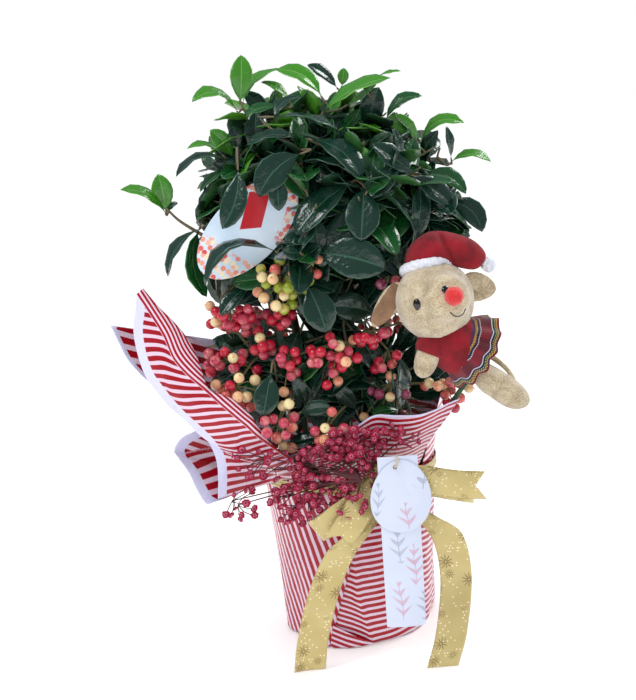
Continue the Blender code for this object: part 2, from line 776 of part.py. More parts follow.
def make_toy():
    """A small plush mouse in a felt hat and a dress, carried on a wooden pick in the soil."""
    head_points, head_faces = ball(HEAD_CENTRE, HEAD_RADIUS, 3)
    for point in head_points:
        out = (point - HEAD_CENTRE).normalized()
        muzzle = max(0.0, out.dot(TOY_FACING) - 0.87) / 0.13
        point += TOY_FACING * (6.5 * MM * muzzle ** 0.8)
    outline = mesh_of("outline", ball(HEAD_CENTRE, HEAD_RADIUS * 1.075, 2))
    ear_left = egg(HEAD_CENTRE + millimetres(-34, 6, -3), Vector((-0.60, 0.1, -0.79)),
                   (18 * MM, 11 * MM), 2)
    ear_right = egg(HEAD_CENTRE + millimetres(34, 8, 5), Vector((0.90, 0.1, -0.25)),
                    (15 * MM, 9 * MM), 2)
    flat = []
    for points, faces in (ear_left, ear_right):
        middle = sum(points, Vector()) / len(points)
        flat.append(([Vector((p.x, middle.y + (p.y - middle.y) * 0.33, p.z)) for p in points],
                     faces))
    head = fuse("toy_head", [(head_points, head_faces), *flat])

    nose_centre = HEAD_CENTRE + TOY_FACING * (HEAD_RADIUS + 9.6 * MM) + millimetres(0, 0, 1)
    nose = mesh_of("toy_nose", ball(nose_centre, 6.2 * MM, 2))

    hat_route = [HEAD_CENTRE + millimetres(*step) for step in
                 ((-1, 2, 18), (1, 1.5, 28), (10, 1, 34), (24, 1, 32), (36, 2, 24.5))]
    hat_path = smooth_curve(hat_route, 8)
    hat_radii = [radius * MM for radius in (16, 16, 15, 13.5, 12, 10.5, 8.5, 5)]
    hat = mesh_of("toy_hat", tube(hat_path, hat_radii, 8))
    hat = cut_clear(hat, outline)
    bobble = mesh_of("toy_hat_bobble", ball(hat_path[-1] + millimetres(4.0, 0.4, -3.0), 6 * MM, 2))
    hat = cut_clear(hat, bobble)
    trim = lathe([(18.6 * MM, -2.9 * MM), (21.2 * MM, -2.8 * MM), (22.2 * MM, 0.4 * MM),
                  (20.4 * MM, 3.4 * MM), (17.2 * MM, 3.0 * MM)], 16)
    trim.transform(Matrix.Translation(HEAD_CENTRE + millimetres(-1, 1, 24.5)))
    trim = cut_clear(trim, head)
    hat = cut_clear(hat, trim)

    shoulder = HEAD_CENTRE + BODY_AXIS * (37 * MM)
    dress = mesh_of("toy_dress", egg(shoulder, BODY_AXIS, (23 * MM, 19.5 * MM), 2))
    dress = cut_clear(dress, outline)
    hem_centre = shoulder + BODY_AXIS * (19 * MM)
    turn = BODY_AXIS.to_track_quat("Z", "Y").to_matrix().to_4x4()
    skirt = lathe([(14 * MM, -14 * MM), (17.0 * MM, -15 * MM), (23.5 * MM, -3 * MM),
                   (28.0 * MM, 4 * MM), (26.0 * MM, 5 * MM), (15 * MM, -1 * MM)], 12)
    skirt.transform(Matrix.Translation(hem_centre) @ turn)
    skirt = cut_clear(skirt, dress)

    hip = hem_centre + BODY_AXIS * (2 * MM)
    leg_right = mesh_of("toy_leg_right", egg(hip + millimetres(5.5, -8.5, -21),
                                             Vector((0.79, -0.05, -0.61)), (25 * MM, 10 * MM), 2))
    leg_left = mesh_of("toy_leg_left", egg(hip + millimetres(7, 13.5, -22.5),
                                           Vector((0.75, 0.15, -0.62)), (20 * MM, 8.5 * MM), 2))
    leg_right = cut_clear(leg_right, dress, skirt)
    leg_left = cut_clear(leg_left, dress, skirt, leg_right)
    arm_right = mesh_of("toy_arm_right", egg(shoulder + millimetres(-24, -8, -3),
                                             Vector((-0.42, -0.15, -0.88)), (18 * MM, 8.5 * MM), 2))
    arm_left = mesh_of("toy_arm_left", egg(shoulder + millimetres(4, 22, -2),
                                           Vector((0.5, 0.15, -0.8)), (13 * MM, 7.5 * MM), 2))
    arm_right = cut_clear(arm_right, outline, dress, skirt)
    arm_left = cut_clear(arm_left, head, dress, skirt)
    tail_path = smooth_curve([hip + millimetres(-2, 6, 4), hip + millimetres(5, 10.5, -4),
                              hip + millimetres(11.5, 10.5, -10), hip + millimetres(17, 10.5, -17),
                              hip + millimetres(21.5, 10.5, -26.5)], 7)
    tail = mesh_of("toy_tail", tube(tail_path, taper(2.4 * MM, 1.5 * MM, 7), 6))
    tail = cut_clear(tail, skirt, dress)
    nose = cut_clear(nose, head)

    foot = Vector((*PICK_FOOT, SOIL_LEVEL - 0.4 * MM))
    pick_path = [foot, mix(foot, hem_centre, 0.5), hem_centre]
    pick_points, pick_faces = tube(pick_path, [PICK_RADIUS] * 3, 8)
    level = [Vector((p.x, p.y, max(p.z, foot.z))) for p in pick_points]
    pick = cut_clear(mesh_of("toy_pick", (level, pick_faces)), dress)

    pieces = {"toy_head": (head, PLUSH), "toy_nose": (nose, (0.80, 0.04, 0.05)),
              "toy_hat": (hat, FELT_RED), "toy_hat_trim": (trim, FELT_WHITE),
              "toy_hat_bobble": (bobble, FELT_WHITE), "toy_dress": (dress, FELT_RED),
              "toy_skirt": (skirt, (0.12, 0.02, 0.05)), "toy_arm_left": (arm_left, PLUSH),
              "toy_arm_right": (arm_right, PLUSH), "toy_leg_left": (leg_left, PLUSH),
              "toy_leg_right": (leg_right, PLUSH), "toy_tail": (tail, PLUSH),
              "toy_pick": (pick, (0.62, 0.47, 0.30))}
    for name, (mesh, colour) in pieces.items():
        finish(name, mesh, colour, 0.95)
    return {name: mesh for name, (mesh, colour) in pieces.items()}


# Stems, boughs and the rule of the crown

STEMS = {
    "stem_left": [(-17, -8, 0), (-24, -6, 60), (-34, 0, 140), (-44, 2, 205), (-46, 2, 232)],
    "stem_right": [(18, -11, 0), (26, -12, 60), (36, -8, 130), (46, -2, 195), (52, 2, 226)],
    "stem_back": [(3, 19, 0), (2, 26, 70), (0, 24, 150), (-4, 12, 215), (-6, 6, 238)],
}

BOUGHS = {
    "bough_left": ("stem_left", 150, (-58, -8, 186), (-84, -14, 206)),
    "bough_front_left": ("stem_left", 128, (-36, -26, 156), (-32, -54, 180)),
    "bough_right": ("stem_right", 142, (58, -14, 176), (74, -18, 198)),
    "bough_front": ("stem_right", 160, (32, -30, 192), (24, -46, 216)),
    "bough_back_left": ("stem_back", 118, (-26, 46, 150), (-48, 56, 186)),
    "bough_back_right": ("stem_back", 140, (26, 48, 168), (50, 60, 196)),
}

# Each mass: the limb and the height on it (None at its tip), its seed, and its shoots as
# (x, y, z), with z and the height above the soil
MASSES = {
    "leaves_top_left": ("stem_left", None, 11, [(-60, -10, 315), (-39, 22, 298), (-66, -32, 266)]),
    "leaves_top_right": ("stem_right", None, 12, [(46, 2, 297), (67, -8, 281), (91, 6, 266)]),
    "leaves_top_mid": ("stem_back", None, 13, [(-2, -12, 301), (18, 27, 307), (-18, -46, 276)]),
    "leaves_left": ("bough_left", None, 14, [(-124, -18, 240), (-94, -22, 226), (-98, 14, 232)]),
    "leaves_front_low": ("bough_front_left", None, 15, [(-22, -84, 212), (-44, -64, 196),
                                                  (-16, -74, 248)]),
    "leaves_right": ("bough_right", None, 16, [(96, -12, 230), (66, -50, 230), (98, 26, 216)]),
    "leaves_front": ("bough_front", None, 17, [(24, -56, 268), (28, -78, 250), (58, -44, 262)]),
    "leaves_back_left": ("bough_back_left", None, 18, [(-72, 52, 270), (-26, 72, 280), (-102, 44, 226),
                                                 (-58, 90, 222), (-14, 98, 190)]),
    "leaves_back_right": ("bough_back_right", None, 19, [(28, 70, 278), (78, 50, 256), (52, 92, 226),
                                                   (104, 44, 206), (78, 76, 182)]),
    "leaves_inner": ("stem_left", 80, 20, [(-68, -40, 128), (-28, -56, 112), (34, -50, 118)]),
}

# Each berry mass: the limb, the height on it, the colour and its umbels as (x, y, z) above soil
BERRY_MASSES = {
    "berries_front_top": ("stem_left", 172, BERRY_GREEN, [(-36, -92, 184), (-24, -92, 124)]),
    "berries_front_left": ("stem_left", 100, BERRY_RED, [(-78, -58, 154), (-90, -66, 130),
                                                         (-80, -78, 104)]),
    "berries_front_mid": ("stem_right", 104, BERRY_RED, [(11, -92, 136), (-4, -88, 108),
                                                         (37, -82, 110)]),
    "berries_front_low": ("stem_right", 60, BERRY_RED, [(-32, -80, 82), (-8, -80, 76),
                                                        (38, -76, 84), (66, -66, 92)]),
    "berries_back_left": ("stem_back", 96, BERRY_RED, [(-84, 34, 140), (-44, 76, 120)]),
    "berries_back_right": ("stem_back", 80, BERRY_RED, [(26, 84, 120), (72, 44, 122)]),
}


def above_soil(x, y, z):
    return millimetres(x, y, z) + UP * SOIL_LEVEL


def limb_point(path, height):
    """Where a limb's axis passes a height above the soil, and its direction there."""
    level = SOIL_LEVEL + height * MM
    for start, end in zip(path, path[1:]):
        if start.z <= level <= end.z:
            return mix(start, end, (level - start.z) / (end.z - start.z)), (end - start).normalized()
    return path[-1], (path[-1] - path[-2]).normalized()


def start_clear(space, owner, route, radius, sides, count):
    """A path along the route that begins as near its first limb as the gap allows."""
    full = smooth_curve(route, 60)
    for skip in range(1, 40):
        path = smooth_curve(full[skip:], count)
        shell = tube(path, [radius + GAP] * count, sides)
        if not space.touches(owner, shell):
            return path
    return None


def make_limbs(space):
    """Stems from the soil and boughs from the stems, each one tapering limb."""
    paths = {}
    for name, route in STEMS.items():
        points = [above_soil(*point) + UP * GAP * 2 for point in route]
        path = smooth_curve(points, 9)
        radii = [STEM_FOOT_RADIUS, *taper(STEM_RADIUS, STEM_TIP_RADIUS, 8)]
        shell = tube(path, radii, 6)
        flat = [Vector((p.x, p.y, path[0].z)) if i < 6 else p for i, p in enumerate(shell[0])]
        mesh = mesh_of(name, (flat, shell[1]))
        finish(name, mesh, BARK, 0.85)
        space.add_mesh(name, mesh)
        paths[name] = path
    for name, (parent, height, bend, tip) in BOUGHS.items():
        root, _ = limb_point(paths[parent], height)
        route = [root, above_soil(*bend), above_soil(*tip)]
        path = start_clear(space, name, route, BOUGH_RADIUS, 5, 6)
        shell = tube(path, taper(BOUGH_RADIUS, TWIG_RADIUS, 6), 5)
        mesh = mesh_of(name, shell)
        finish(name, mesh, BARK, 0.85)
        space.add_mesh(name, mesh)
        paths[name] = path
    return paths


def blade(root, ahead, up, length, droop, grow=0.0):
    """A leaf of ten faces: flat above, keeled below, widest in the middle, arched down."""
    side = ahead.cross(up).normalized()
    rise = side.cross(ahead).normalized()
    stations = ((0.0, LEAF_FOOT, LEAF_FOOT), (0.48, length * LEAF_WIDTH / 2, length * LEAF_THICK))
    points = []
    for share, half, depth in stations:
        centre = root + ahead * (length * share) - rise * (droop * length * share * share)
        spread = side * (half + grow)
        top = centre + rise * (grow + (LEAF_FOOT / 2 if share == 0.0 else 0.0))
        points += [top + spread, top - spread, top - rise * (depth + 2 * grow)]
    tip = root + ahead * (length + grow) - rise * (droop * length)
    points.append(tip)
    faces = [(0, 1, 2)]
    for first, second in ((0, 1), (1, 2), (2, 0)):
        faces.append((first, second, 3 + second))
        faces.append((first, 3 + second, 3 + first))
        faces.append((3 + first, 3 + second, 6))
    return points, faces


def shoot_axis(tip):
    """A shoot leans out from the crown's middle and turns up."""
    out = tip - CROWN_CENTRE
    axis = Vector((out.x * 5.5, out.y * 5.5, 0.62 + max(0.0, out.z) * 3.0))
    return axis.normalized()


def twig_route(start, start_ahead, tip, axis):
    reach = (tip - start).length
    return [start, start + start_ahead * (reach * 0.25), tip - axis * (reach * 0.3), tip]


def leaf_places(rng, path, count):
    """Root, direction, length and droop of each leaf in a spiral down from a shoot's tip."""
    tip = path[-1]
    axis = (path[-1] - path[-2]).normalized()
    reach = sum((end - start).length for start, end in zip(path, path[1:]))
    zone = min(LEAF_ZONE, reach * 0.8)
    first_turn = rng.uniform(0.0, math.tau)
    side = axis.orthogonal().normalized()
    across = axis.cross(side)
    for index in range(count):
        share = index / (count - 1)
        back = mix(1.5 * MM, zone, share)
        root = tip - axis * back
        lean = math.radians(mix(24.0, 92.0, share ** 0.7) + rng.uniform(-9.0, 9.0))
        turn = first_turn + GOLDEN_TURN * index
        out = side * math.cos(turn) + across * math.sin(turn)
        ahead = (axis * math.cos(lean) + out * math.sin(lean)).normalized()
        length = LEAF_LENGTH * mix(0.70, 1.0, min(1.0, share * 2.2)) * rng.uniform(0.92, 1.06)
        droop = mix(0.10, 0.34, share) + rng.uniform(-0.04, 0.06)
        yield root, ahead, out, axis, length, droop


def on_path(path, point):
    """The point of a path nearest to a given one."""
    best = None
    for start, end in zip(path, path[1:]):
        line = end - start
        share = max(0.0, min(1.0, (point - start).dot(line) / line.length_squared))
        near = start + line * share
        away = (near - point).length
        if best is None or away < best[0]:
            best = (away, near)
    return best[1]


def grow_twigs(space, limbs):
    """The branching of every mass, kept clear of what is there already."""
    grown = {}
    for name, (limb, height, seed, shoots) in MASSES.items():
        rng = random.Random(seed)
        path = limbs[limb]
        if height is None:
            ahead = (path[-1] - path[-2]).normalized()
            start = path[-1] + ahead * GAP
            stem_tip = start + ahead * STALK_LENGTH
            stem = [start, mix(start, stem_tip, 0.5), stem_tip]
        else:
            root, _ = limb_point(path, height)
            middle = sum((above_soil(*shoot) for shoot in shoots), Vector()) / len(shoots)
            reach = (middle - root).normalized() * (STALK_LENGTH * 1.5)
            stem = start_clear(space, name, [root, root + reach / 2, root + reach],
                               TWIG_RADIUS * 1.1, 5, 3)
            ahead = reach.normalized()
        shells = [tube(stem, [TWIG_RADIUS * 1.1] * 3, 5)]
        twigs = []
        for shoot in shoots:
            wanted = above_soil(*shoot)
            for attempt in range(14):
                jitter = Vector([rng.uniform(-1.0, 1.0) for _ in range(3)]) * (1.2 * MM * attempt)
                tip = wanted + jitter
                route = twig_route(stem[1], ahead, tip, shoot_axis(tip))
                twig = smooth_curve(route, 4)
                radii = taper(TWIG_RADIUS, TWIG_TIP_RADIUS, 4)
                if not space.touches(name, tube(twig, [r + GAP for r in radii], 4)):
                    shells.append(tube(twig, radii, 4))
                    twigs.append(twig)
                    break
        for shell in shells:
            space.add(name, shell)
        grown[name] = (shells, twigs, rng)
    return grown


def grow_leaves(space, grown):
    """Leaves round every shoot; past its root a leaf touches nothing, or it is left out."""
    blades = Space()
    for name, (shells, twigs, rng) in grown.items():
        for twig in twigs:
            for root, ahead, out, axis, length, droop in leaf_places(rng, twig, LEAVES_A_SHOOT):
                root = on_path(twig, root)
                for attempt in range(6):
                    swing = rng.uniform(-0.22, 0.22) * attempt
                    tried = Matrix.Rotation(swing, 3, axis) @ ahead
                    reach = length * (1.0 - 0.05 * attempt)
                    outer = root + tried * (LEAF_ROOT * reach)
                    free = blade(outer, tried, axis, reach * (1.0 - LEAF_ROOT), droop, GAP)
                    if blades.touches(None, free):
                        continue
                    if not space.touches(name, blade(root, tried, axis, reach, droop, GAP)):
                        leaf = blade(root, tried, axis, reach, droop)
                        shells.append(leaf)
                        space.add(name, leaf)
                        blades.add(name, leaf)
                        break
        mesh = fuse(name, shells)
        finish(name, mesh, LEAF_GREEN, 0.3)


def umbel(rng, centre, outward, count):
    """Berry places on a cap round the stalk's end, hanging a little."""
    axis = (outward * 0.75 - UP * 0.55).normalized()
    side = axis.orthogonal().normalized()
    across = axis.cross(side)
    first_turn = rng.uniform(0.0, math.tau)
    places = []
    for index in range(count):
        tilt = math.acos(1.0 - 1.25 * (index + 0.5) / count)
        turn = first_turn + GOLDEN_TURN * index
        out = side * math.cos(turn) + across * math.sin(turn)
        ahead = axis * math.cos(tilt) + out * math.sin(tilt)
        reach = PEDICEL_LENGTH * rng.uniform(0.9, 1.2)
        places.append(centre + ahead * reach)
    return places


def grow_berries(space, limbs):
    placed = []
    for number, (name, (limb, height, colour, umbels)) in enumerate(BERRY_MASSES.items()):
        rng = random.Random(40 + number)
        root, _ = limb_point(limbs[limb], height)
        middle = sum((above_soil(*point) for point in umbels), Vector()) / len(umbels)
        fork = mix(root, middle, 0.45) + UP * (10 * MM)
        stalk = start_clear(space, name, [root, mix(root, fork, 0.5) + UP * (2 * MM), fork],
                            TWIG_RADIUS, 4, 4)
        shells = [tube(stalk, taper(TWIG_RADIUS, TWIG_TIP_RADIUS * 1.2, 4), 4)]
        for point in umbels:
            for attempt in range(16):
                jitter = Vector([rng.uniform(-1.0, 1.0) for _ in range(3)]) * (1.1 * MM * attempt)
                centre = above_soil(*point) + jitter * 0.5
                route = [fork, mix(fork, centre, 0.5) + UP * (6 * MM) + jitter, centre]
                branch = smooth_curve(route, 4)
                if not space.touches(name, tube(branch, [TWIG_TIP_RADIUS + GAP] * 4, 3)):
                    break
            else:
                continue
            outward = Vector((centre.x, centre.y, 0.0)).normalized()
            shells.append(tube(branch, [TWIG_TIP_RADIUS] * 4, 3))
            shells.append(octahedron(centre, UMBEL_HUB_RADIUS * 1.2))
            for place in umbel(rng, centre, outward, BERRIES_AN_UMBEL):
                near = min([(place - other).length for other in placed], default=1.0)
                ahead = (place - centre).normalized()
                stalklet = tube([centre + ahead * (UMBEL_HUB_RADIUS * 0.75),
                                 place - ahead * (BERRY_RADIUS * 0.7)], [0.65 * MM] * 2, 3)
                berry = ball(place, BERRY_RADIUS)
                crowded = near < 2.05 * BERRY_RADIUS
                fat = ball(place, BERRY_RADIUS + GAP * 1.3)
                if crowded or space.touches(name, fat) or space.touches(name, stalklet):
                    continue
                placed.append(place)
                shells += [stalklet, berry]
        for shell in shells:
            space.add(name, shell)
        mesh = fuse(name, shells)
        finish(name, mesh, colour, 0.35)


# Dried flowers in front of the neck

DRIED = {
    "dried_flowers_right": (31, millimetres(13.9, -100.3, 158.5), 12,
                            (millimetres(-16, -106, 168), millimetres(44, -104, 186)), 14),
    "dried_flowers_left": (32, millimetres(5, -111, 154), 15,
                           (millimetres(-64, -110, 112), millimetres(-14, -104, 168)), 16),
}
BLOSSOM_RADIUS = 3.4 * MM


def octahedron(centre, radius):
    points = []
    for axis in range(3):
        for sign in (1.0, -1.0):
            corner = Vector()
            corner[axis] = sign * radius
            points.append(centre + corner)
    faces = [(0, 2, 4), (2, 1, 4), (1, 3, 4), (3, 0, 4), (2, 0, 5), (1, 2, 5), (3, 1, 5), (0, 3, 5)]
    return points, faces


def grow_dried(space):
    for name, (seed, start, count, (low, high), depth) in DRIED.items():
        rng = random.Random(seed)
        middle = mix(low, high, 0.5)
        trunk_tip = mix(start, middle, 0.75)
        shells = [tube([start, mix(start, trunk_tip, 0.5), trunk_tip], [1.3 * MM] * 3, 4)]
        heads = []
        for _ in range(count * 8):
            if len(heads) >= count:
                break
            head = Vector([rng.uniform(low[axis], high[axis]) for axis in range(3)])
            head.y = middle.y - rng.uniform(-0.4, 1.0) * depth * MM * 0.5
            if any((head - other).length < 2.3 * BLOSSOM_RADIUS for other in heads):
                continue
            root = mix(start, trunk_tip, rng.uniform(0.25, 0.95))
            twig = [root, head]
            if space.touches(name, tube(twig, [0.55 * MM + GAP] * 2, 3)):
                continue
            if space.touches(name, octahedron(head, BLOSSOM_RADIUS + GAP * 2)):
                continue
            heads.append(head)
            shells += [tube(twig, [0.55 * MM] * 2, 3), octahedron(head, BLOSSOM_RADIUS)]
        mesh = fuse(name, shells)
        finish(name, mesh, DRIED_PINK, 0.9)
        space.add_mesh(name, mesh)


def build():
    clear_scene()
    space = Space()
    pot, soil = make_pot()
    sleeve = make_sleeve()
    collar = make_collar()
    ribbon = make_ribbon()
    cards = make_cards()
    toy = make_toy()
    fixed = {"pot": pot, "soil": soil, "wrap_sleeve": sleeve, **collar, **ribbon, **cards, **toy}
    for name, mesh in fixed.items():
        space.add_mesh(name, mesh)
    grow_dried(space)
    limbs = make_limbs(space)
    twigs = grow_twigs(space, limbs)
    grow_berries(space, limbs)
    grow_leaves(space, twigs)


build()
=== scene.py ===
"""Looks of the potted coral ardisia, dressed as a gift.

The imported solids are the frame. Paper, ribbon, cards, plant and toy are modelled here over them,
in metres, +Z up, with the front of the arrangement towards -Y. The plant grows by the same
rule as its solids: shoots at the same places, leaves in the same spiral, umbels on the same
stalks, all carried to more and finer ones.
"""

import math
import random

import bpy
from mathutils import Matrix, Vector, noise
from mathutils.bvhtree import BVHTree


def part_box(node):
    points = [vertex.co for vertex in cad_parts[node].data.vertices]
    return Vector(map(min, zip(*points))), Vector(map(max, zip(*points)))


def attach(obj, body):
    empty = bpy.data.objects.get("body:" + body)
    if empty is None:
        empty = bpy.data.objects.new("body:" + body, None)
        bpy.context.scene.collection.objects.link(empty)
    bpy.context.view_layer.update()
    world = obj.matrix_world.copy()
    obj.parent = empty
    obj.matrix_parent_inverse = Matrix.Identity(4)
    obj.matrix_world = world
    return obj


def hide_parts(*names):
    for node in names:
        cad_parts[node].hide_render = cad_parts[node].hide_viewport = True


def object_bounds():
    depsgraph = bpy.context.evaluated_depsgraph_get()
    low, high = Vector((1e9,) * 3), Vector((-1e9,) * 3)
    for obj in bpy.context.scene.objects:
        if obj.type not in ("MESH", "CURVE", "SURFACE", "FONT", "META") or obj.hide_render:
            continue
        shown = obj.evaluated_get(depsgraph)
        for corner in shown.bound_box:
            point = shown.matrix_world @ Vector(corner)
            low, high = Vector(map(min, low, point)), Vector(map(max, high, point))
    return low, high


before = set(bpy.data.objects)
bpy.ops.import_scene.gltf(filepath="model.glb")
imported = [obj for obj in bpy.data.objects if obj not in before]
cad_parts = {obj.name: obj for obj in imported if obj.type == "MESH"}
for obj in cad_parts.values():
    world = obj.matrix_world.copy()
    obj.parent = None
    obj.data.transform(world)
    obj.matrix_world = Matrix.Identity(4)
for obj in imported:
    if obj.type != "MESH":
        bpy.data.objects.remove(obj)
cad_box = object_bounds()

MM = 0.001
UP = Vector((0.0, 0.0, 1.0))
GOLDEN_TURN = math.radians(137.5)


# Small tools

def millimetres(*values):
    return Vector(values) * MM


def mix(start, end, share):
    return start + (end - start) * share


def clamp(value, low=0.0, high=1.0):
    return max(low, min(high, value))


def smooth_step(value, low, high):
    share = clamp((value - low) / (high - low))
    return share * share * (3.0 - 2.0 * share)


def deselect():
    if bpy.context.mode != "OBJECT":
        bpy.ops.object.mode_set(mode="OBJECT")
    bpy.ops.object.select_all(action="DESELECT")


def focus(piece):
    deselect()
    piece.select_set(True)
    bpy.context.view_layer.objects.active = piece


def primitive(kind, name, **settings):
    """A fresh mesh primitive, the only thing selected."""
    deselect()
    getattr(bpy.ops.mesh, "primitive_" + kind + "_add")(**settings)
    piece = bpy.context.object
    piece.name = name
    piece.data.name = name
    return piece


def modify(piece, kind, **settings):
    """Add one modifier and apply it."""
    focus(piece)
    added = piece.modifiers.new(kind.lower(), kind)
    for key, value in settings.items():
        setattr(added, key, value)
    bpy.ops.object.modifier_apply(modifier=added.name)
    return piece


def seat(piece):
    """Put an object's place, turn and scale into its mesh."""
    focus(piece)
    bpy.ops.object.transform_apply(location=True, rotation=True, scale=True)
    return piece


def soften(piece, degrees=None):
    focus(piece)
    if degrees is None:
        bpy.ops.object.shade_smooth()
    else:
        bpy.ops.object.shade_smooth_by_angle(angle=math.radians(degrees))
    return piece


def outward(piece):
    """Turn all faces of a closed mesh outwards."""
    focus(piece)
    bpy.ops.object.mode_set(mode="EDIT")
    bpy.ops.mesh.select_all(action="SELECT")
    bpy.ops.mesh.normals_make_consistent(inside=False)
    bpy.ops.object.mode_set(mode="OBJECT")
    return piece


def joined(pieces, name):
    deselect()
    for piece in pieces:
        piece.select_set(True)
    bpy.context.view_layer.objects.active = pieces[0]
    if len(pieces) > 1:
        bpy.ops.object.join()
    made = bpy.context.object
    made.name = name
    made.data.name = name
    return made


def dress(piece, finish, slot, *nodes):
    """Give a finished piece its material, its body and the nodes it stands for."""
    if finish is not None:
        piece.data.materials.clear()
        piece.data.materials.append(finish)
    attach(piece, "root")
    if nodes:
        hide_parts(*nodes)
    return piece


def curve_through(points, count):
    """Points read evenly, by length, from a Catmull-Rom curve; values past x, y, z go along."""
    ends = [points[0] * 2 - points[1], *points, points[-1] * 2 - points[-2]]
    fine = []
    for index in range(1, len(ends) - 2):
        before, start, end, after = ends[index - 1:index + 3]
        for step in range(12):
            t = step / 12
            fine.append(0.5 * (2 * start + (end - before) * t
                               + (2 * before - 5 * start + 4 * end - after) * t * t
                               + (3 * start - before - 3 * end + after) * t ** 3))
    fine.append(points[-1].copy())
    reach = [0.0]
    for start, end in zip(fine, fine[1:]):
        reach.append(reach[-1] + (end.to_3d() - start.to_3d()).length)
    picked = []
    at = 0
    for index in range(count):
        wanted = reach[-1] * index / (count - 1)
        while at < len(reach) - 2 and reach[at + 1] < wanted:
            at += 1
        share = (wanted - reach[at]) / (reach[at + 1] - reach[at])
        picked.append(mix(fine[at], fine[at + 1], share))
    return picked


def frames_along(path):
    """The tangent and two cross directions at each point, carried along without twist."""
    side = None
    frames = []
    for index in range(len(path)):
        ahead = path[min(index + 1, len(path) - 1)] - path[max(index - 1, 0)]
        ahead.normalize()
        if side is None:
            side = ahead.orthogonal().normalized()
        side = (side - ahead * side.dot(ahead)).normalized()
        frames.append((ahead, side, ahead.cross(side)))
    return frames


class Heap:
    """Many small closed shapes gathered as arrays and made one mesh at the end."""

    def __init__(self):
        self.points = []
        self.faces = []
        self.kinds = []

    def add(self, points, faces, kinds=0):
        shift = len(self.points)
        self.points.extend(points)
        self.faces.extend([tuple(corner + shift for corner in face) for face in faces])
        self.kinds.extend([kinds] * len(faces) if isinstance(kinds, int) else kinds)

    def tube(self, path, radii, sides, kind=0):
        points = []
        for centre, radius, (ahead, side, across) in zip(path, radii, frames_along(path)):
            for corner in range(sides):
                turn = math.tau * corner / sides
                points.append(centre + (side * math.cos(turn) + across * math.sin(turn)) * radius)
        faces = [tuple(range(sides))[::-1]]
        for ring in range(len(path) - 1):
            low = ring * sides
            for corner in range(sides):
                after = (corner + 1) % sides
                faces.append((low + corner, low + after, low + sides + after, low + sides + corner))
        last = (len(path) - 1) * sides
        faces.append(tuple(last + corner for corner in range(sides)))
        self.add(points, faces, kind)

    def piece(self, name, finishes):
        mesh = bpy.data.meshes.new(name)
        mesh.from_pydata([tuple(point) for point in self.points], [], self.faces)
        for finish in finishes:
            mesh.materials.append(finish)
        mesh.polygons.foreach_set("material_index", self.kinds)
        mesh.polygons.foreach_set("use_smooth", [True] * len(self.faces))
        mesh.update()
        made = bpy.data.objects.new(name, mesh)
        bpy.context.scene.collection.objects.link(made)
        return made


# Shader values as Python expressions

class Value:
    """A number that a shader node gives; an expression on values adds its Math nodes."""

    def __init__(self, tree, socket):
        self.tree = tree
        self.socket = socket

    def combine(self, operation, *operands):
        node = self.tree.nodes.new("ShaderNodeMath")
        node.operation = operation
        for place, operand in enumerate(operands):
            if isinstance(operand, Value):
                self.tree.links.new(operand.socket, node.inputs[place])
            else:
                node.inputs[place].default_value = operand
        return Value(self.tree, node.outputs[0])

    def __add__(self, other):
        return self.combine("ADD", self, other)

    def __radd__(self, other):
        return self.combine("ADD", other, self)

    def __sub__(self, other):
        return self.combine("SUBTRACT", self, other)

    def __rsub__(self, other):
        return self.combine("SUBTRACT", other, self)

    def __mul__(self, other):
        return self.combine("MULTIPLY", self, other)

    def __rmul__(self, other):
        return self.combine("MULTIPLY", other, self)

    def __truediv__(self, other):
        return self.combine("DIVIDE", self, other)

    def __pow__(self, other):
        return self.combine("POWER", self, other)

    def __gt__(self, other):
        return self.combine("GREATER_THAN", self, other)

    def __lt__(self, other):
        return self.combine("LESS_THAN", self, other)

    def part(self, operation, *others):
        """Any one-step Math operation by its name, such as FRACT, SINE or MAXIMUM."""
        return self.combine(operation, self, *others)


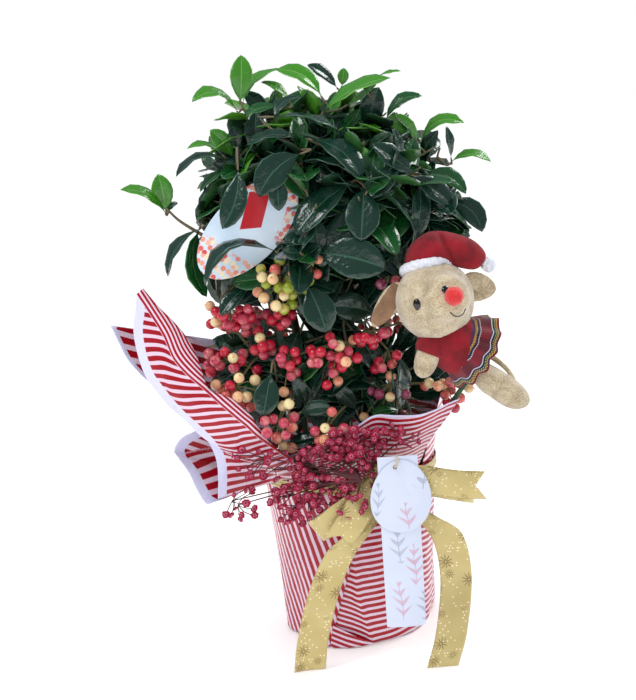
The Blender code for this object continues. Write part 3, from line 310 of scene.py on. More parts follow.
class Finish:
    """One material and the few ways that its nodes are made."""

    def __init__(self, name, colour=(0.8, 0.8, 0.8), roughness=0.5, **fixed):
        self.material = bpy.data.materials.new(name)
        self.material.use_nodes = True
        self.tree = self.material.node_tree
        self.shader = self.tree.nodes["Principled BSDF"]
        self.shader.inputs["Base Color"].default_value = (*colour, 1.0)
        self.shader.inputs["Roughness"].default_value = roughness
        for key, value in fixed.items():
            socket = key.replace("_", " ").title().replace("Ior", "IOR")
            self.shader.inputs[socket].default_value = value

    def node(self, kind, settings=None, **sockets):
        """A node of any kind: its settings first, then the values or links of its sockets."""
        made = self.tree.nodes.new("ShaderNode" + kind)
        for key, value in (settings or {}).items():
            setattr(made, key, value)
        for key, value in sockets.items():
            place = made.inputs[int(key[1:]) if key[0] == "i" and key[1:].isdigit() else key]
            self.put(place, value)
        return made

    def put(self, place, value):
        if isinstance(value, Value):
            self.tree.links.new(value.socket, place)
        elif isinstance(value, bpy.types.NodeSocket):
            self.tree.links.new(value, place)
        elif place.type == "RGBA" and len(value) == 3:
            place.default_value = (*value, 1.0)
        else:
            place.default_value = value

    def value(self, socket):
        return Value(self.tree, socket)

    def places(self):
        """Object coordinates, in metres."""
        return self.node("TexCoord").outputs["Object"]

    def print_places(self, layer):
        """The two values of a UV layer as numbers."""
        chart = self.node("UVMap", {"uv_map": layer})
        split = self.node("SeparateXYZ", Vector=chart.outputs["UV"])
        return self.value(split.outputs["X"]), self.value(split.outputs["Y"])

    def noise(self, scale, detail=2.0, vector=None, roughness=0.5, distortion=0.0):
        made = self.node("TexNoise", Vector=vector or self.places(), Scale=scale, Detail=detail,
                         Roughness=roughness, Distortion=distortion)
        return self.value(made.outputs["Fac"])

    def ramp(self, value, low, high):
        """A smooth step of a value from nought at low to one at high."""
        made = self.node("MapRange", {"interpolation_type": "SMOOTHSTEP"}, Value=value)
        made.inputs["From Min"].default_value = low
        made.inputs["From Max"].default_value = high
        return self.value(made.outputs["Result"])

    def tint(self, share, first, second):
        """The colour between two, each a colour or a link, at a share."""
        made = self.node("Mix", {"data_type": "RGBA"}, i0=share, i6=first, i7=second)
        return made.outputs[2]

    def paint(self, link):
        self.put(self.shader.inputs["Base Color"], link)

    def gloss(self, value):
        self.put(self.shader.inputs["Roughness"], value)

    def relief(self, height, distance, strength=1.0):
        """A Bump node that feeds Normal; distance is the height of one, in metres."""
        made = self.node("Bump", Height=height, Strength=strength, Distance=distance)
        self.put(self.shader.inputs["Normal"], made.outputs["Normal"])


# Finishes of paper, ribbon and cards

GOLD_DARK = (0.24, 0.165, 0.055)


def paper_finish():
    """Glossy film: print.x counts stripes, print.y is the distance from a white border."""
    film = Finish("striped_film", roughness=0.24, coat_weight=0.12, coat_roughness=0.12,
                  specular_ior_level=0.35)
    stripe, edge = film.print_places("print")
    wave = (stripe * math.tau).part("SINE")
    red = film.ramp(wave, -0.40, -0.02)
    inside = film.ramp(edge, 0.0, 0.0006)
    cloud = film.noise(14.0, 3.0)
    white = film.tint(inside, (0.66, 0.66, 0.90), film.tint(cloud, (0.66, 0.44, 0.60),
                                                            (0.80, 0.70, 0.81)))
    strong = film.tint(cloud, (0.27, 0.001, 0.008), (0.42, 0.003, 0.013))
    film.paint(film.tint(red * inside, white, strong))
    crinkle = film.noise(90.0, 4.0) * 0.7 + film.noise(420.0, 2.0) * 0.3
    film.gloss(0.18 + crinkle * 0.22)
    film.relief(crinkle, 0.0006, 0.7)
    return film.material


def ribbon_finish():
    """Gold satin with printed frost stars, a fine weave and a few glitter dots."""
    satin = Finish("gold_satin", roughness=0.34, metallic=0.35, sheen_weight=0.25)
    along, across = satin.print_places("print")
    chart = satin.node("UVMap", {"uv_map": "print"}).outputs["UV"]
    flat_cells = {"feature": "F1", "voronoi_dimensions": "2D"}
    cells = satin.node("TexVoronoi", flat_cells, Vector=chart, Scale=62.0, Randomness=0.8)
    away = satin.node("VectorMath", {"operation": "SUBTRACT"}, i0=chart,
                      i1=cells.outputs["Position"])
    split = satin.node("SeparateXYZ", Vector=away.outputs["Vector"])
    x = satin.value(split.outputs["X"])
    y = satin.value(split.outputs["Y"])
    reach = satin.value(cells.outputs["Distance"]) / 62.0
    turn = y.part("ARCTAN2", x)
    arms = ((turn * 10.0).part("COSINE") * 0.5 + 0.5) ** 2.0
    tint = satin.node("SeparateColor", Color=cells.outputs["Color"])
    size = satin.value(tint.outputs["Red"]) * 0.0040 + 0.0024
    star = satin.ramp(size * (0.30 + arms * 0.70) - reach, -0.0002, 0.0005)
    heart = 1.0 - satin.ramp(reach, 0.0005, 0.0010)
    shown = satin.value(tint.outputs["Green"]) > 0.30
    mark = (star - heart).part("MAXIMUM", 0.0) * shown
    specks = satin.node("TexVoronoi", flat_cells, Vector=chart, Scale=420.0)
    speck_tint = satin.node("SeparateColor", Color=specks.outputs["Color"])
    speck = satin.ramp(satin.value(specks.outputs["Distance"]), 0.30, 0.16)
    speck = speck * (satin.value(speck_tint.outputs["Red"]) > 0.86)
    weave = (across * 5200.0).part("SINE") * (along * 5200.0).part("SINE")
    cloud = satin.noise(38.0, 3.0)
    ground = satin.tint(cloud, (0.44, 0.335, 0.115), (0.68, 0.57, 0.27))
    printed = satin.tint(mark * 0.85, ground, GOLD_DARK)
    satin.paint(satin.tint(speck * 0.8, printed, (0.98, 0.90, 0.62)))
    satin.gloss(0.30 + cloud * 0.16 + mark * 0.2)
    satin.relief(weave * 0.4 + cloud, 0.00018, 0.6)
    return satin.material


def card_finish(name, centre, sprigs):
    """Smooth card with sprigs in watercolour: their place across, top, foot and colour."""
    card = Finish(name, roughness=0.42, coat_weight=0.15)
    place = card.node("Mapping", {"vector_type": "POINT"}, Vector=card.places())
    place.inputs["Location"].default_value = tuple(-value for value in centre)
    split = card.node("SeparateXYZ", Vector=place.outputs["Vector"])
    sway = card.noise(26.0, 1.0) * 0.016 - 0.008
    cloud = card.noise(25.0, 2.0)
    paint = card.tint(cloud, (0.52, 0.58, 0.74), (0.64, 0.69, 0.83))
    for column, top, bottom, tone in sprigs:
        x = card.value(split.outputs["X"]) - column + sway
        z = card.value(split.outputs["Z"])
        along = (z - bottom) / (top - bottom)
        within = card.ramp(along, 0.0, 0.06) * (1.0 - card.ramp(along, 0.92, 1.0))
        side = x.part("ABSOLUTE")
        stalk = 1.0 - card.ramp(side, 0.00005, 0.00035)
        beat = ((z - side * 1.1) * 820.0).part("SINE")
        wide = (along * math.pi).part("SINE") * 0.0055 + 0.0012
        blades = card.ramp(beat - side / wide * 1.3, -0.35, 0.15)
        sprig = (stalk * 0.7).part("MAXIMUM", blades * (card.noise(70.0, 2.0) * 0.6 + 0.15))
        paint = card.tint(sprig * within, paint, tone)
    card.paint(paint)
    card.relief(card.noise(900.0, 2.0), 0.00005, 0.5)
    return card.material


def label_finish():
    """The label's printed face: pale sky blue, a bare red panel and a heap of berries."""
    face = Finish("label_print", roughness=0.25, coat_weight=0.5, coat_roughness=0.08)
    x, z = face.print_places("print")
    chart = face.node("UVMap", {"uv_map": "print"}).outputs["UV"]
    cloud = face.noise(34.0, 2.0)
    sky = face.tint(cloud, (0.42, 0.60, 0.80), (0.84, 0.90, 0.96))
    across = x * 0.77 - z * 0.66
    rise = x * 0.64 + z * 0.75
    lean = (across - 0.0068 - (rise - 0.013) * 0.35).part("ABSOLUTE")
    tall = (rise - 0.013).part("ABSOLUTE")
    panel = (1.0 - face.ramp(lean, 0.0078, 0.0084)) * (1.0 - face.ramp(tall, 0.0130, 0.0136))
    spots = face.node("TexVoronoi", {"feature": "F1", "voronoi_dimensions": "2D"}, Vector=chart, Scale=230.0, Randomness=0.7)
    parts = face.node("SeparateColor", Color=spots.outputs["Color"])
    warm = face.tint(face.value(parts.outputs["Red"]), (0.72, 0.05, 0.06), (0.90, 0.50, 0.38))
    fruit = face.tint(face.value(parts.outputs["Green"]) > 0.75, warm, (0.88, 0.76, 0.58))
    round_mark = 1.0 - face.ramp(face.value(spots.outputs["Distance"]), 0.40, 0.50)
    heap = face.ramp(-0.020 - x - z * 0.25 + (cloud - 0.5) * 0.012, -0.001, 0.001)
    rim = face.ramp(x * x / 0.00189 + z * z / 0.00052, 0.66, 0.70)
    band = rim * face.ramp(x, 0.006, 0.012)
    berries = heap.part("MAXIMUM", band) * round_mark
    printed = face.tint(panel, sky, (0.50, 0.02, 0.03))
    face.paint(face.tint(berries, printed, fruit))
    face.gloss(0.2 + cloud * 0.12)
    return face.material


def white_plastic():
    plain = Finish("white_plastic", (0.80, 0.83, 0.86), 0.35)
    cloud = plain.noise(60.0, 3.0)
    plain.paint(plain.tint(cloud, (0.72, 0.75, 0.79), (0.85, 0.87, 0.90)))
    plain.gloss(0.3 + cloud * 0.15)
    plain.relief(cloud, 0.0001, 0.4)
    return plain.material


def cloth_finish(name, dark, light, grain, depth, roughness=0.9, sheen=0.4, blotch=60.0,
                 pile_shade=0.0):
    """Pile, felt or fleece: blotches of two tones, fibres of a given grain and a sheen, and where
    asked a painted shade that darkens the low places among the fibres.
    """
    cloth = Finish(name, roughness=roughness, sheen_weight=sheen)
    patches = cloth.noise(blotch, 4.0, distortion=0.6)
    fibres = cloth.noise(grain, 3.0, roughness=0.65)
    shade = patches * 0.55 + fibres * 0.45
    base = cloth.tint(cloth.ramp(shade, 0.36, 0.64), dark, light)
    # Painted shade in the pile: where the fibres' relief is low, the colour goes darker.
    if pile_shade:
        base = cloth.tint(cloth.ramp(fibres, 0.52, 0.30) * pile_shade, base,
                          tuple(channel * 0.45 for channel in dark))
    cloth.paint(base)
    cloth.relief(fibres + patches * 0.3, depth, 0.8)
    return cloth.material


def tartan_finish():
    """Dark woven skirt cloth; print.y runs from the waist to the hem and print.x round it."""
    cloth = Finish("tartan", roughness=0.85, sheen_weight=0.2)
    u, v = cloth.print_places("print")

    def band(value, centre, half, soft=0.006):
        return 1.0 - cloth.ramp((value - centre).part("ABSOLUTE"), half, half + soft)

    dash = ((u * 620.0).part("SINE") > 0.0) * 1.0
    dash_two = ((u * 620.0 + 3.1).part("SINE") > 0.0) * 1.0
    check = (u * 44.0).part("SINE") > 0.1
    navy = cloth.tint(check, (0.012, 0.010, 0.050), (0.055, 0.006, 0.040))
    wine = cloth.tint(check, (0.20, 0.004, 0.018), (0.11, 0.003, 0.014))
    ground = cloth.tint(band(v, 0.50, 0.15), navy, wine)
    ground = cloth.tint(band(v, 0.985, 0.02), ground, (0.30, 0.01, 0.02))
    ground = cloth.tint(band(v, 0.10, 0.05) * 0.7, ground, (0.10, 0.015, 0.10))
    ground = cloth.tint(band(v, 0.33, 0.012) * dash, ground, (0.80, 0.72, 0.74))
    ground = cloth.tint(band(v, 0.70, 0.010), ground, (0.60, 0.62, 0.66))
    for centre, beat in ((0.19, dash), (0.225, dash_two), (0.86, dash), (0.895, dash_two)):
        ground = cloth.tint(band(v, centre, 0.011) * beat, ground, (0.86, 0.52, 0.04))
    ground = cloth.tint(band(v, 0.80, 0.012) * dash_two, ground, (0.45, 0.60, 0.10))
    cloth.paint(ground)
    weave = (u * 2400.0).part("SINE") * (v * 500.0).part("SINE")
    cloth.relief(weave * 0.5 + cloth.noise(1500.0, 2.0), 0.0002, 0.6)
    return cloth.material


def gloss_black():
    bead = Finish("bead_black", (0.006, 0.005, 0.006), 0.06, coat_weight=0.6)
    bead.gloss(0.05 + bead.noise(400.0, 1.0) * 0.04)
    return bead.material


def bark_finish():
    bark = Finish("bark", roughness=0.85)
    long_way = bark.node("Mapping", {"vector_type": "POINT"}, Vector=bark.places())
    long_way.inputs["Scale"].default_value = (1.0, 1.0, 0.35)
    grain = bark.noise(420.0, 5.0, vector=long_way.outputs["Vector"])
    patch = bark.noise(60.0, 3.0)
    base = bark.tint(grain, (0.075, 0.050, 0.028), (0.24, 0.19, 0.12))
    bark.paint(bark.tint(bark.ramp(patch, 0.45, 0.62) * 0.6, base, (0.10, 0.12, 0.05)))
    bark.relief(grain + patch * 0.6, 0.0009, 0.8)
    return bark.material


def soil_finish():
    soil = Finish("compost", roughness=0.97)
    grain = soil.noise(160.0, 5.0)
    crumbs = soil.node("TexVoronoi", {"feature": "F1"}, Vector=soil.places(), Scale=260.0)
    depth = soil.value(crumbs.outputs["Distance"])
    base = soil.tint(grain, (0.018, 0.011, 0.007), (0.10, 0.062, 0.036))
    soil.paint(soil.tint(depth * 0.5, base, (0.14, 0.10, 0.065)))
    soil.relief(grain - depth * 0.6, 0.002, 1.0)
    return soil.material


def pot_finish():
    pot = Finish("nursery_pot", roughness=0.5)
    patch = pot.noise(45.0, 4.0)
    pot.paint(pot.tint(patch, (0.030, 0.024, 0.020), (0.075, 0.060, 0.050)))
    pot.gloss(0.42 + patch * 0.25)
    pot.relief(pot.noise(900.0, 2.0), 0.00008, 0.5)
    return pot.material


def plain_finish(name, colour, roughness, **fixed):
    """A plain base colour, for small things."""
    return Finish(name, colour, roughness, **fixed).material


def leaf_finish(name, colour, roughness):
    """A plain green with the gloss and the small dents of a leathery leaf."""
    leaf = Finish(name, colour, roughness, coat_weight=0.5, coat_roughness=0.12)
    leaf.relief(leaf.noise(300.0, 2.0), 0.0011, 0.7)
    return leaf.material


def berry_finish(name, colour, blush):
    """The smooth skin of a berry, with a blush that runs softly over it."""
    skin = Finish(name, colour, 0.22, coat_weight=0.35, coat_roughness=0.08)
    share = skin.ramp(skin.noise(130.0, 2.0), 0.46, 0.66)
    skin.paint(skin.tint(share, colour, blush))
    return skin.material


# Sheets

FILM = 0.35 * MM
BORDER = 6.5 * MM
TIE_HEIGHT = 139.0 * MM
NECK_RADIUS = 68.9 * MM
NECK_HEIGHT = 140.0 * MM


def thin_sheet(name, columns, rows, place, prints, thickness=FILM):
    """A flat grid whose corners are set by place(u, v) and printed by prints(u, v, side, point).

    Side is the u of a face's middle, so that a print can change sharply at a fold.
    """
    piece = primitive("grid", name, x_subdivisions=columns, y_subdivisions=rows, size=1.0)
    mesh = piece.data
    shares = [(corner.co.x + 0.5, corner.co.y + 0.5) for corner in mesh.vertices]
    for corner, share in zip(mesh.vertices, shares):
        corner.co = place(*share)
    chart = mesh.uv_layers[0]
    chart.name = "print"
    for face in mesh.polygons:
        side = sum(shares[index][0] for index in face.vertices) / len(face.vertices)
        for loop in face.loop_indices:
            index = mesh.loops[loop].vertex_index
            chart.data[loop].uv = prints(*shares[index], side, mesh.vertices[index].co)
    mesh.update()
    return piece


def rumple(piece, dents, creases, scale=1.0):
    """Push a sheet's corners along their normals, in soft dents and small sharp creases."""
    mesh = piece.data
    moved = []
    for corner in mesh.vertices:
        dent = noise.noise(corner.co * (30.0 * scale)) * dents
        crease = 0.22 - abs(noise.noise(corner.co * (70.0 * scale) + Vector((3.1, 1.7, 7.3))))
        moved.append(corner.co + corner.normal * (dent + max(0.0, crease) * creases))
    for corner, point in zip(mesh.vertices, moved):
        corner.co = point
    mesh.update()
    return piece


def thicken(piece, thickness=FILM):
    modify(piece, "SOLIDIFY", thickness=thickness, offset=0.0, use_even_offset=False)
    return soften(piece)


def coons(low, high, left, right):
    """Fill four boundary curves; rows run from low to high."""
    rows = len(left) - 1
    columns = len(low) - 1
    grid = []
    for row in range(rows + 1):
        v = row / rows
        line = []
        for column in range(columns + 1):
            u = column / columns
            ruled = mix(low[column], high[column], v) + mix(left[row], right[row], u)
            line.append(ruled - mix(mix(low[0], low[-1], u), mix(high[0], high[-1], u), v))
        grid.append(line)
    return grid


def reading(values, share):
    """A list read at a share of its length, between its entries."""
    at = clamp(share) * (len(values) - 1)
    index = min(int(at), len(values) - 2)
    return mix(values[index], values[index + 1], at - index)


def away_from(curve, point):
    """How far a point is from a polyline."""
    best = 1.0
    for start, end in zip(curve, curve[1:]):
        line = end - start
        share = clamp((point - start).dot(line) / max(line.length_squared, 1e-12))
        best = min(best, (start + line * share - point).length)
    return best


# Sleeve of striped film round the pot

SLEEVE_FOOT = 57.5 * MM
SLEEVE_TOP = 69.5 * MM
SLEEVE_CORNERS = {195: 5.0, 240: 8.0, 15: 7.0, 105: 6.0}
CORNER_REACH = 85.0 * MM
PITCH = 5.2 * MM
FLOOR_SHARE = 0.12


def sleeve_radius(turn, height):
    radius = mix(SLEEVE_FOOT, SLEEVE_TOP, (height / TIE_HEIGHT) ** 0.9)
    fade = max(0.0, 1.0 - height / CORNER_REACH)
    for corner, depth in SLEEVE_CORNERS.items():
        away = abs((turn - corner + 180.0) % 360.0 - 180.0)
        radius += depth * MM * fade * max(0.0, 1.0 - away / 21.0)
    gather = math.sin(math.radians(turn) * 31.0 + 2.0 * math.sin(math.radians(turn) * 5.0))
    return radius - (0.9 + gather * 0.8) * MM * smooth_step(height, 0.100, TIE_HEIGHT)


def on_sleeve(turn, height, lift=0.0):
    foot = max(0.0, 1.0 - height / (3.0 * MM))
    radius = sleeve_radius(turn, height) - 1.6 * MM * foot * foot + lift
    kink = kink_turn(height)
    away = abs(turn - kink)
    radius += 1.3 * MM * max(0.0, 1.0 - away / 4.0) * (1.0 - smooth_step(height, 0.06, 0.11))
    angle = math.radians(turn)
    return Vector((radius * math.cos(angle), radius * math.sin(angle), height + 0.3 * MM))


def kink_turn(height):
    return 267.0 + 9.0 * max(0.0, 1.0 - height / (48.0 * MM)) ** 1.4


def level_stripes(turn, height):
    """The stripe count round the sleeve: level, but bent down at the kink of the front."""
    kink = kink_turn(height)
    arc = math.radians(turn - kink) * 62.0 * MM
    steep = 0.62 * (1.0 - smooth_step(height, 0.035, 0.10))
    if arc < 0.0:
        rise = arc * steep * (1.0 - smooth_step(-arc, 0.036, 0.085))
    else:
        rise = -arc * 0.10 * (1.0 - smooth_step(arc, 0.03, 0.09))
    ripple = math.sin(math.radians(turn) * 9.0) * 0.5 * MM
    return (height + rise + ripple) / PITCH


def upright_stripes(turn, height):
    arc = math.radians(turn) * 64.0 * MM
    return (arc + 0.27 * height) / (PITCH * 1.2)


def make_sleeve(film):
    def place(u, v):
        turn = 360.0 * u
        if v < FLOOR_SHARE:
            rim = on_sleeve(turn, 0.0)
            return Vector((rim.x * v / FLOOR_SHARE, rim.y * v / FLOOR_SHARE, rim.z))
        return on_sleeve(turn, TIE_HEIGHT * (v - FLOOR_SHARE) / (1.0 - FLOOR_SHARE))

    def prints(u, v, side, point):
        height = TIE_HEIGHT * (v - FLOOR_SHARE) / (1.0 - FLOOR_SHARE)
        return level_stripes(360.0 * u, height), 1.0

    sleeve = thin_sheet("sleeve", 216, 100, place, prints)
    focus(sleeve)
    bpy.ops.object.mode_set(mode="EDIT")
    bpy.ops.mesh.select_all(action="SELECT")
    bpy.ops.mesh.remove_doubles(threshold=0.00001)
    bpy.ops.mesh.normals_make_consistent(inside=False)
    bpy.ops.object.mode_set(mode="OBJECT")
    rumple(sleeve, 0.7 * MM, 2.2 * MM)
    for corner in sleeve.data.vertices:
        corner.co.z = max(corner.co.z, 0.25 * MM)
    thicken(sleeve)
    dress(sleeve, film, "paper", "wrap_sleeve")

    def over_place(u, v):
        height = mix(2.0 * MM, TIE_HEIGHT, v)
        edge = mix(243.0, 279.0, clamp(height / (119.0 * MM)))
        return on_sleeve(mix(166.0, edge, u), height, 0.9 * MM)

    def over_prints(u, v, side, point):
        turn = math.degrees(math.atan2(point.y, point.x)) % 360.0
        return upright_stripes(turn, point.z), 1.0

    over = thin_sheet("sleeve_overlap", 80, 70, over_place, over_prints)
    rumple(over, 0.5 * MM, 1.6 * MM)
    thicken(over)
    dress(over, film, "paper", "wrap_sleeve")

    corners = [on_sleeve(244.5, 0.5 * MM, 2.4 * MM), on_sleeve(248.0, 21.0 * MM, 1.6 * MM),
               on_sleeve(277.0, 1.0 * MM, 2.0 * MM)]

    def flap_place(u, v):
        base = mix(mix(corners[0], corners[1], v), corners[2], u)
        bulge = math.sin(math.pi * clamp(u)) * 3.4 * MM
        out = Vector((base.x, base.y, 0.0)).normalized()
        return base + out * bulge

    def flap_prints(u, v, side, point):
        return (point.z + 0.42 * point.x) / (PITCH * 0.9), 1.0

    flap = thin_sheet("sleeve_flap", 40, 16, flap_place, flap_prints)
    rumple(flap, 0.4 * MM, 1.2 * MM)
    for corner in flap.data.vertices:
        corner.co.z = max(corner.co.z, 0.25 * MM)
    thicken(flap)
    dress(flap, film, "paper", "wrap_sleeve")


# Collar of five sheets

def neck_point(turn, stripe=0.0):
    angle = math.radians(turn)
    return Vector((NECK_RADIUS * math.cos(angle), NECK_RADIUS * math.sin(angle), NECK_HEIGHT,
                   stripe))


def neck_arc(first, last, count, stripes=(0.0, 0.0)):
    shares = [index / (count - 1) for index in range(count)]
    return [neck_point(mix(first, last, share), mix(*stripes, share)) for share in shares]


def marks(*rows):
    """Points in millimetres; a fourth number is a stripe's count and keeps its size."""
    made = []
    for x, y, z, *stripe in rows:
        made.append(Vector((x * MM, y * MM, z * MM, stripe[0] if stripe else 0.0)))
    return made


FOLD_DIRECTION = Vector((0.75, 0.35, 0.55)).normalized()
FOLD_SHARE = 0.80


def make_wing_left(film):
    """The tall front sheet on the left, with its right edge folded over along a crease."""
    crease = [neck_point(249, 25.9), *marks((-40, -93, 163, 24.2), (-61, -95, 182, 19.1),
                                            (-69, -96, 190, 16.9), (-75, -96, 197, 15.3),
                                            (-80, -96, 202, 14.1), (-92, -96, 215, 11.6),
                                            (-103, -94, 227, 9.4), (-114, -92, 238, 7.5),
                                            (-123, -88, 250, 5.8), (-129, -84, 267, 3.5),
                                            (-138, -79, 284, 1.0), (-146, -74, 298, -1.0))]
    fold_widths = marks((1.0, 0, 0), (1.5, 40, 0), (2.0, 68, 0), (5.0, 80, 0), (7.2, 89, 0),
                        (9.3, 96, 0), (9.3, 114, 0), (3.0, 130, 0), (13.0, 146, 0),
                        (17.5, 161, 0), (13.0, 180, 0), (8.5, 200, 0), (6.5, 217, 0))
    border = marks((-102, -82, 139, 26.8), (-100, -84, 157, 24.1), (-100, -86, 172, 21.9),
                   (-104, -88, 186, 19.8), (-110, -89, 195, 18.0), (-118, -90, 203, 16.1),
                   (-130, -90, 216, 13.3), (-138, -89, 228, 10.6), (-144, -88, 238, 8.7),
                   (-148, -86, 252, 6.4), (-150, -84, 266, 4.2), (-150, -82, 275, 2.9),
                   (-148, -79, 285, 1.3), (-146, -74, 298, -1.0))
    rows = 130
    main = 54
    low = neck_arc(222, 249, main + 1, (27.0, 25.9))
    high = curve_through(border, main + 1)
    left = curve_through([low[0], *marks((-76, -70, 141, 26.9)), border[0]], rows + 1)
    right = curve_through(crease, rows + 1)
    widths = curve_through(fold_widths, rows + 1)
    grid = coons(low, high, left, right)
    edge = [point.to_3d() for point in high]

    def place(u, v):
        line = grid[round(v * rows)]
        if u <= FOLD_SHARE + 0.001:
            return line[round(u / FOLD_SHARE * main)].to_3d()
        share = (u - FOLD_SHARE) / (1.0 - FOLD_SHARE)
        width = widths[round(v * rows)].x
        bow = Vector((0.25, -0.9, 0.3)) * (width * 0.22 * math.sin(math.pi * share))
        return line[-1].to_3d() + FOLD_DIRECTION * (width * share) + bow

    def prints(u, v, side, point):
        if side > FOLD_SHARE:
            across = (u - FOLD_SHARE) / (1.0 - FOLD_SHARE) * widths[round(v * rows)].x
            return across / (2.9 * MM) - 0.10, 1.0
        line = grid[round(v * rows)]
        return line[round(u / FOLD_SHARE * main)].w, away_from(edge, point) - BORDER

    columns = round(main / FOLD_SHARE)
    wing = thin_sheet("wing_left", columns, rows, place, prints)
    rumple(wing, 0.8 * MM, 1.2 * MM)
    thicken(wing)
    dress(wing, film, "paper", "wing_front_left")


def patch(name, node, finishes, turns, low_edge, outer_edge, high_edge, stripes, border=BORDER,
          size=(90, 60), wave=0.0, shade_fold=None, rim=None):
    """A collar sheet from the neck, between two turns, out to its edges.

    Stripes gives the stripe count from u, v and the point; wave ruffles the outer edge.
    Rim gives the outer border's width at a point where it isn't even, beside a side border.
    A mask, where given, picks the faces that take the second finish, which paints shade on a fold.
    """
    columns, rows = size
    low = neck_arc(*turns, columns + 1)
    high = curve_through(marks(*outer_edge), columns + 1)
    left = curve_through([low[0], *marks(*low_edge, outer_edge[0])], rows + 1)
    right = curve_through([low[-1], *marks(*high_edge, outer_edge[-1])], rows + 1)
    grid = [[point.to_3d() for point in line] for line in coons(low, high, left, right)]
    edge = grid[-1]
    side_edge = [line[0] for line in grid]

    def place(u, v):
        point = grid[round(v * rows)][round(u * columns)]
        ruffle = math.sin(u * 17.0 + 1.3 * math.sin(u * 7.0)) * wave * v * v * (1.0 - v * 0.3)
        out = Vector((point.x, point.y, 0.0)).normalized()
        return point + out * ruffle

    def prints(u, v, side, point):
        if rim:
            inside = min(away_from(edge, point) - rim(point), away_from(side_edge, point) - border)
            return stripes(u, v, point), inside
        return stripes(u, v, point), away_from(edge, point) - border

    sheet = thin_sheet(name, columns, rows, place, prints)
    # Painted shade: faces in the mask take a dark, greyed pink in place of the stripes.
    if shade_fold:
        sheet.data.materials.append(finishes[0])
        sheet.data.materials.append(finishes[1])
        for face in sheet.data.polygons:
            if shade_fold(face.center, away_from(edge, face.center)):
                face.material_index = 1
    rumple(sheet, 0.9 * MM, 1.5 * MM)
    thicken(sheet)
    dress(sheet, None if shade_fold else finishes[0], "paper", node)
    return sheet


def make_collar(film, back):
    make_wing_left(film)
    # The right wing's front fold is painted in shade by the second finish, a dark, greyed pink.
    patch("wing_right", "wing_front_right", (film, back), (257, 320), [(-30, -81, 160)],
          [(-47, -88, 180), (-33, -89, 171), (-11, -92, 179), (5, -95, 189), (20, -96, 197),
           (38, -95, 195), (58, -90, 194), (84, -79, 200)],
          [(60, -65, 164), (73, -74, 183)],
          lambda u, v, point: 14.0 * v + 0.3 * math.sin(u * 12.0), border=1.2 * MM,
          size=(120, 70),
          shade_fold=lambda point, away: away < 11.0 * MM * (1.0 - abs(point.x + 0.035) / 0.021))
    patch("pleat", "pleat_left", (film,), (219, 196), [(-82, -60, 137)],
          [(-104, -78, 136), (-112, -76, 134), (-118, -71, 143), (-124, -66, 158),
           (-131, -61, 168), (-134, -58, 173), (-127, -56, 182), (-113, -56, 188)],
          [(-88, -36, 158)],
          lambda u, v, point: ((point.z + 0.62 * point.x) / (9.0 * MM) if point.z > 0.169
                               else point.z / (8.0 * MM) + 0.3), border=8.0 * MM)
    patch("back_left", "collar_back_left", (film,), (193, 112),
          [(-112, -25, 183), (-142, -32, 214), (-163, -30, 237)],
          [(-177, -20, 267), (-122, 20, 246), (-78, 55, 228), (-36, 86, 214)],
          [(-34, 78, 178)],
          lambda u, v, point: (point.z * 0.978 + point.y * 0.208 + 0.38 * point.x) / (9.4 * MM),
          size=(110, 80), border=3.6 * MM,
          rim=lambda point: 6.5 * MM * smooth_step(point.x, -0.125, -0.100))
    patch("back_right", "collar_back_right", (film,), (116, -35), [(-38, 84, 177)],
          [(-41, 94, 212), (24, 98, 208), (68, 68, 200), (84, 20, 194), (76, -26, 186)],
          [(64, -36, 162)],
          lambda u, v, point: 9.0 * v + 0.4 * math.sin(u * 14.0), size=(140, 60), wave=2.5 * MM)


# Ribbon

RIBBON_WIDTH = 24.0 * MM
SATIN = 0.35 * MM
KNOT = millimetres(24, -99, 151)
KNOT_SIZE = millimetres(17, 9, 22)


def ribbon(name, node, finish, route, across, width, notch=0.0, gathered=1.0, curl=0.0,
           rows=110):
    """A length of satin along a route; across gives its width direction at a share of it."""
    path = curve_through(route, rows + 1)
    length = sum((end - start).length for start, end in zip(path, path[1:]))
    seed = Vector((len(name) * 1.7, 0.3, 2.1))

    def place(u, v):
        off = abs(2.0 * u - 1.0)
        along = v * (1.0 - notch * (1.0 - off))
        centre = reading(path, along)
        direction = across(along).normalized()
        ahead = (reading(path, min(1.0, along + 0.01)) - reading(path, max(0.0, along - 0.01)))
        facing = ahead.cross(direction).normalized()
        spread = mix(gathered, 1.0, clamp(3.0 * along))
        pleat = math.sin(u * 19.0) * 1.1 * MM * (1.0 - clamp(3.0 * along)) * (1.0 - gathered)
        ripple = noise.noise(centre * 22.0 + seed) * 1.6 * MM
        bow = curl * (off * off - 0.3)
        point = centre + direction * ((u - 0.5) * width * spread)
        point += facing * (pleat + ripple + bow)
        point.z = max(point.z, 0.5 * MM)
        return point

    def prints(u, v, side, point):
        return v * length, (u - 0.5) * width

    strap = thin_sheet(name, 14, rows, place, prints)
    thicken(strap, SATIN)
    dress(strap, finish, "ribbon", node)
    return strap


def leaning(first, last, until=1.0):
    first = Vector(first)
    last = Vector(last)
    return lambda share: first.lerp(last, clamp(share / until))


def swinging(last):
    last = Vector(last)
    return lambda share: UP.lerp(last, math.sin(math.pi * clamp(share)))


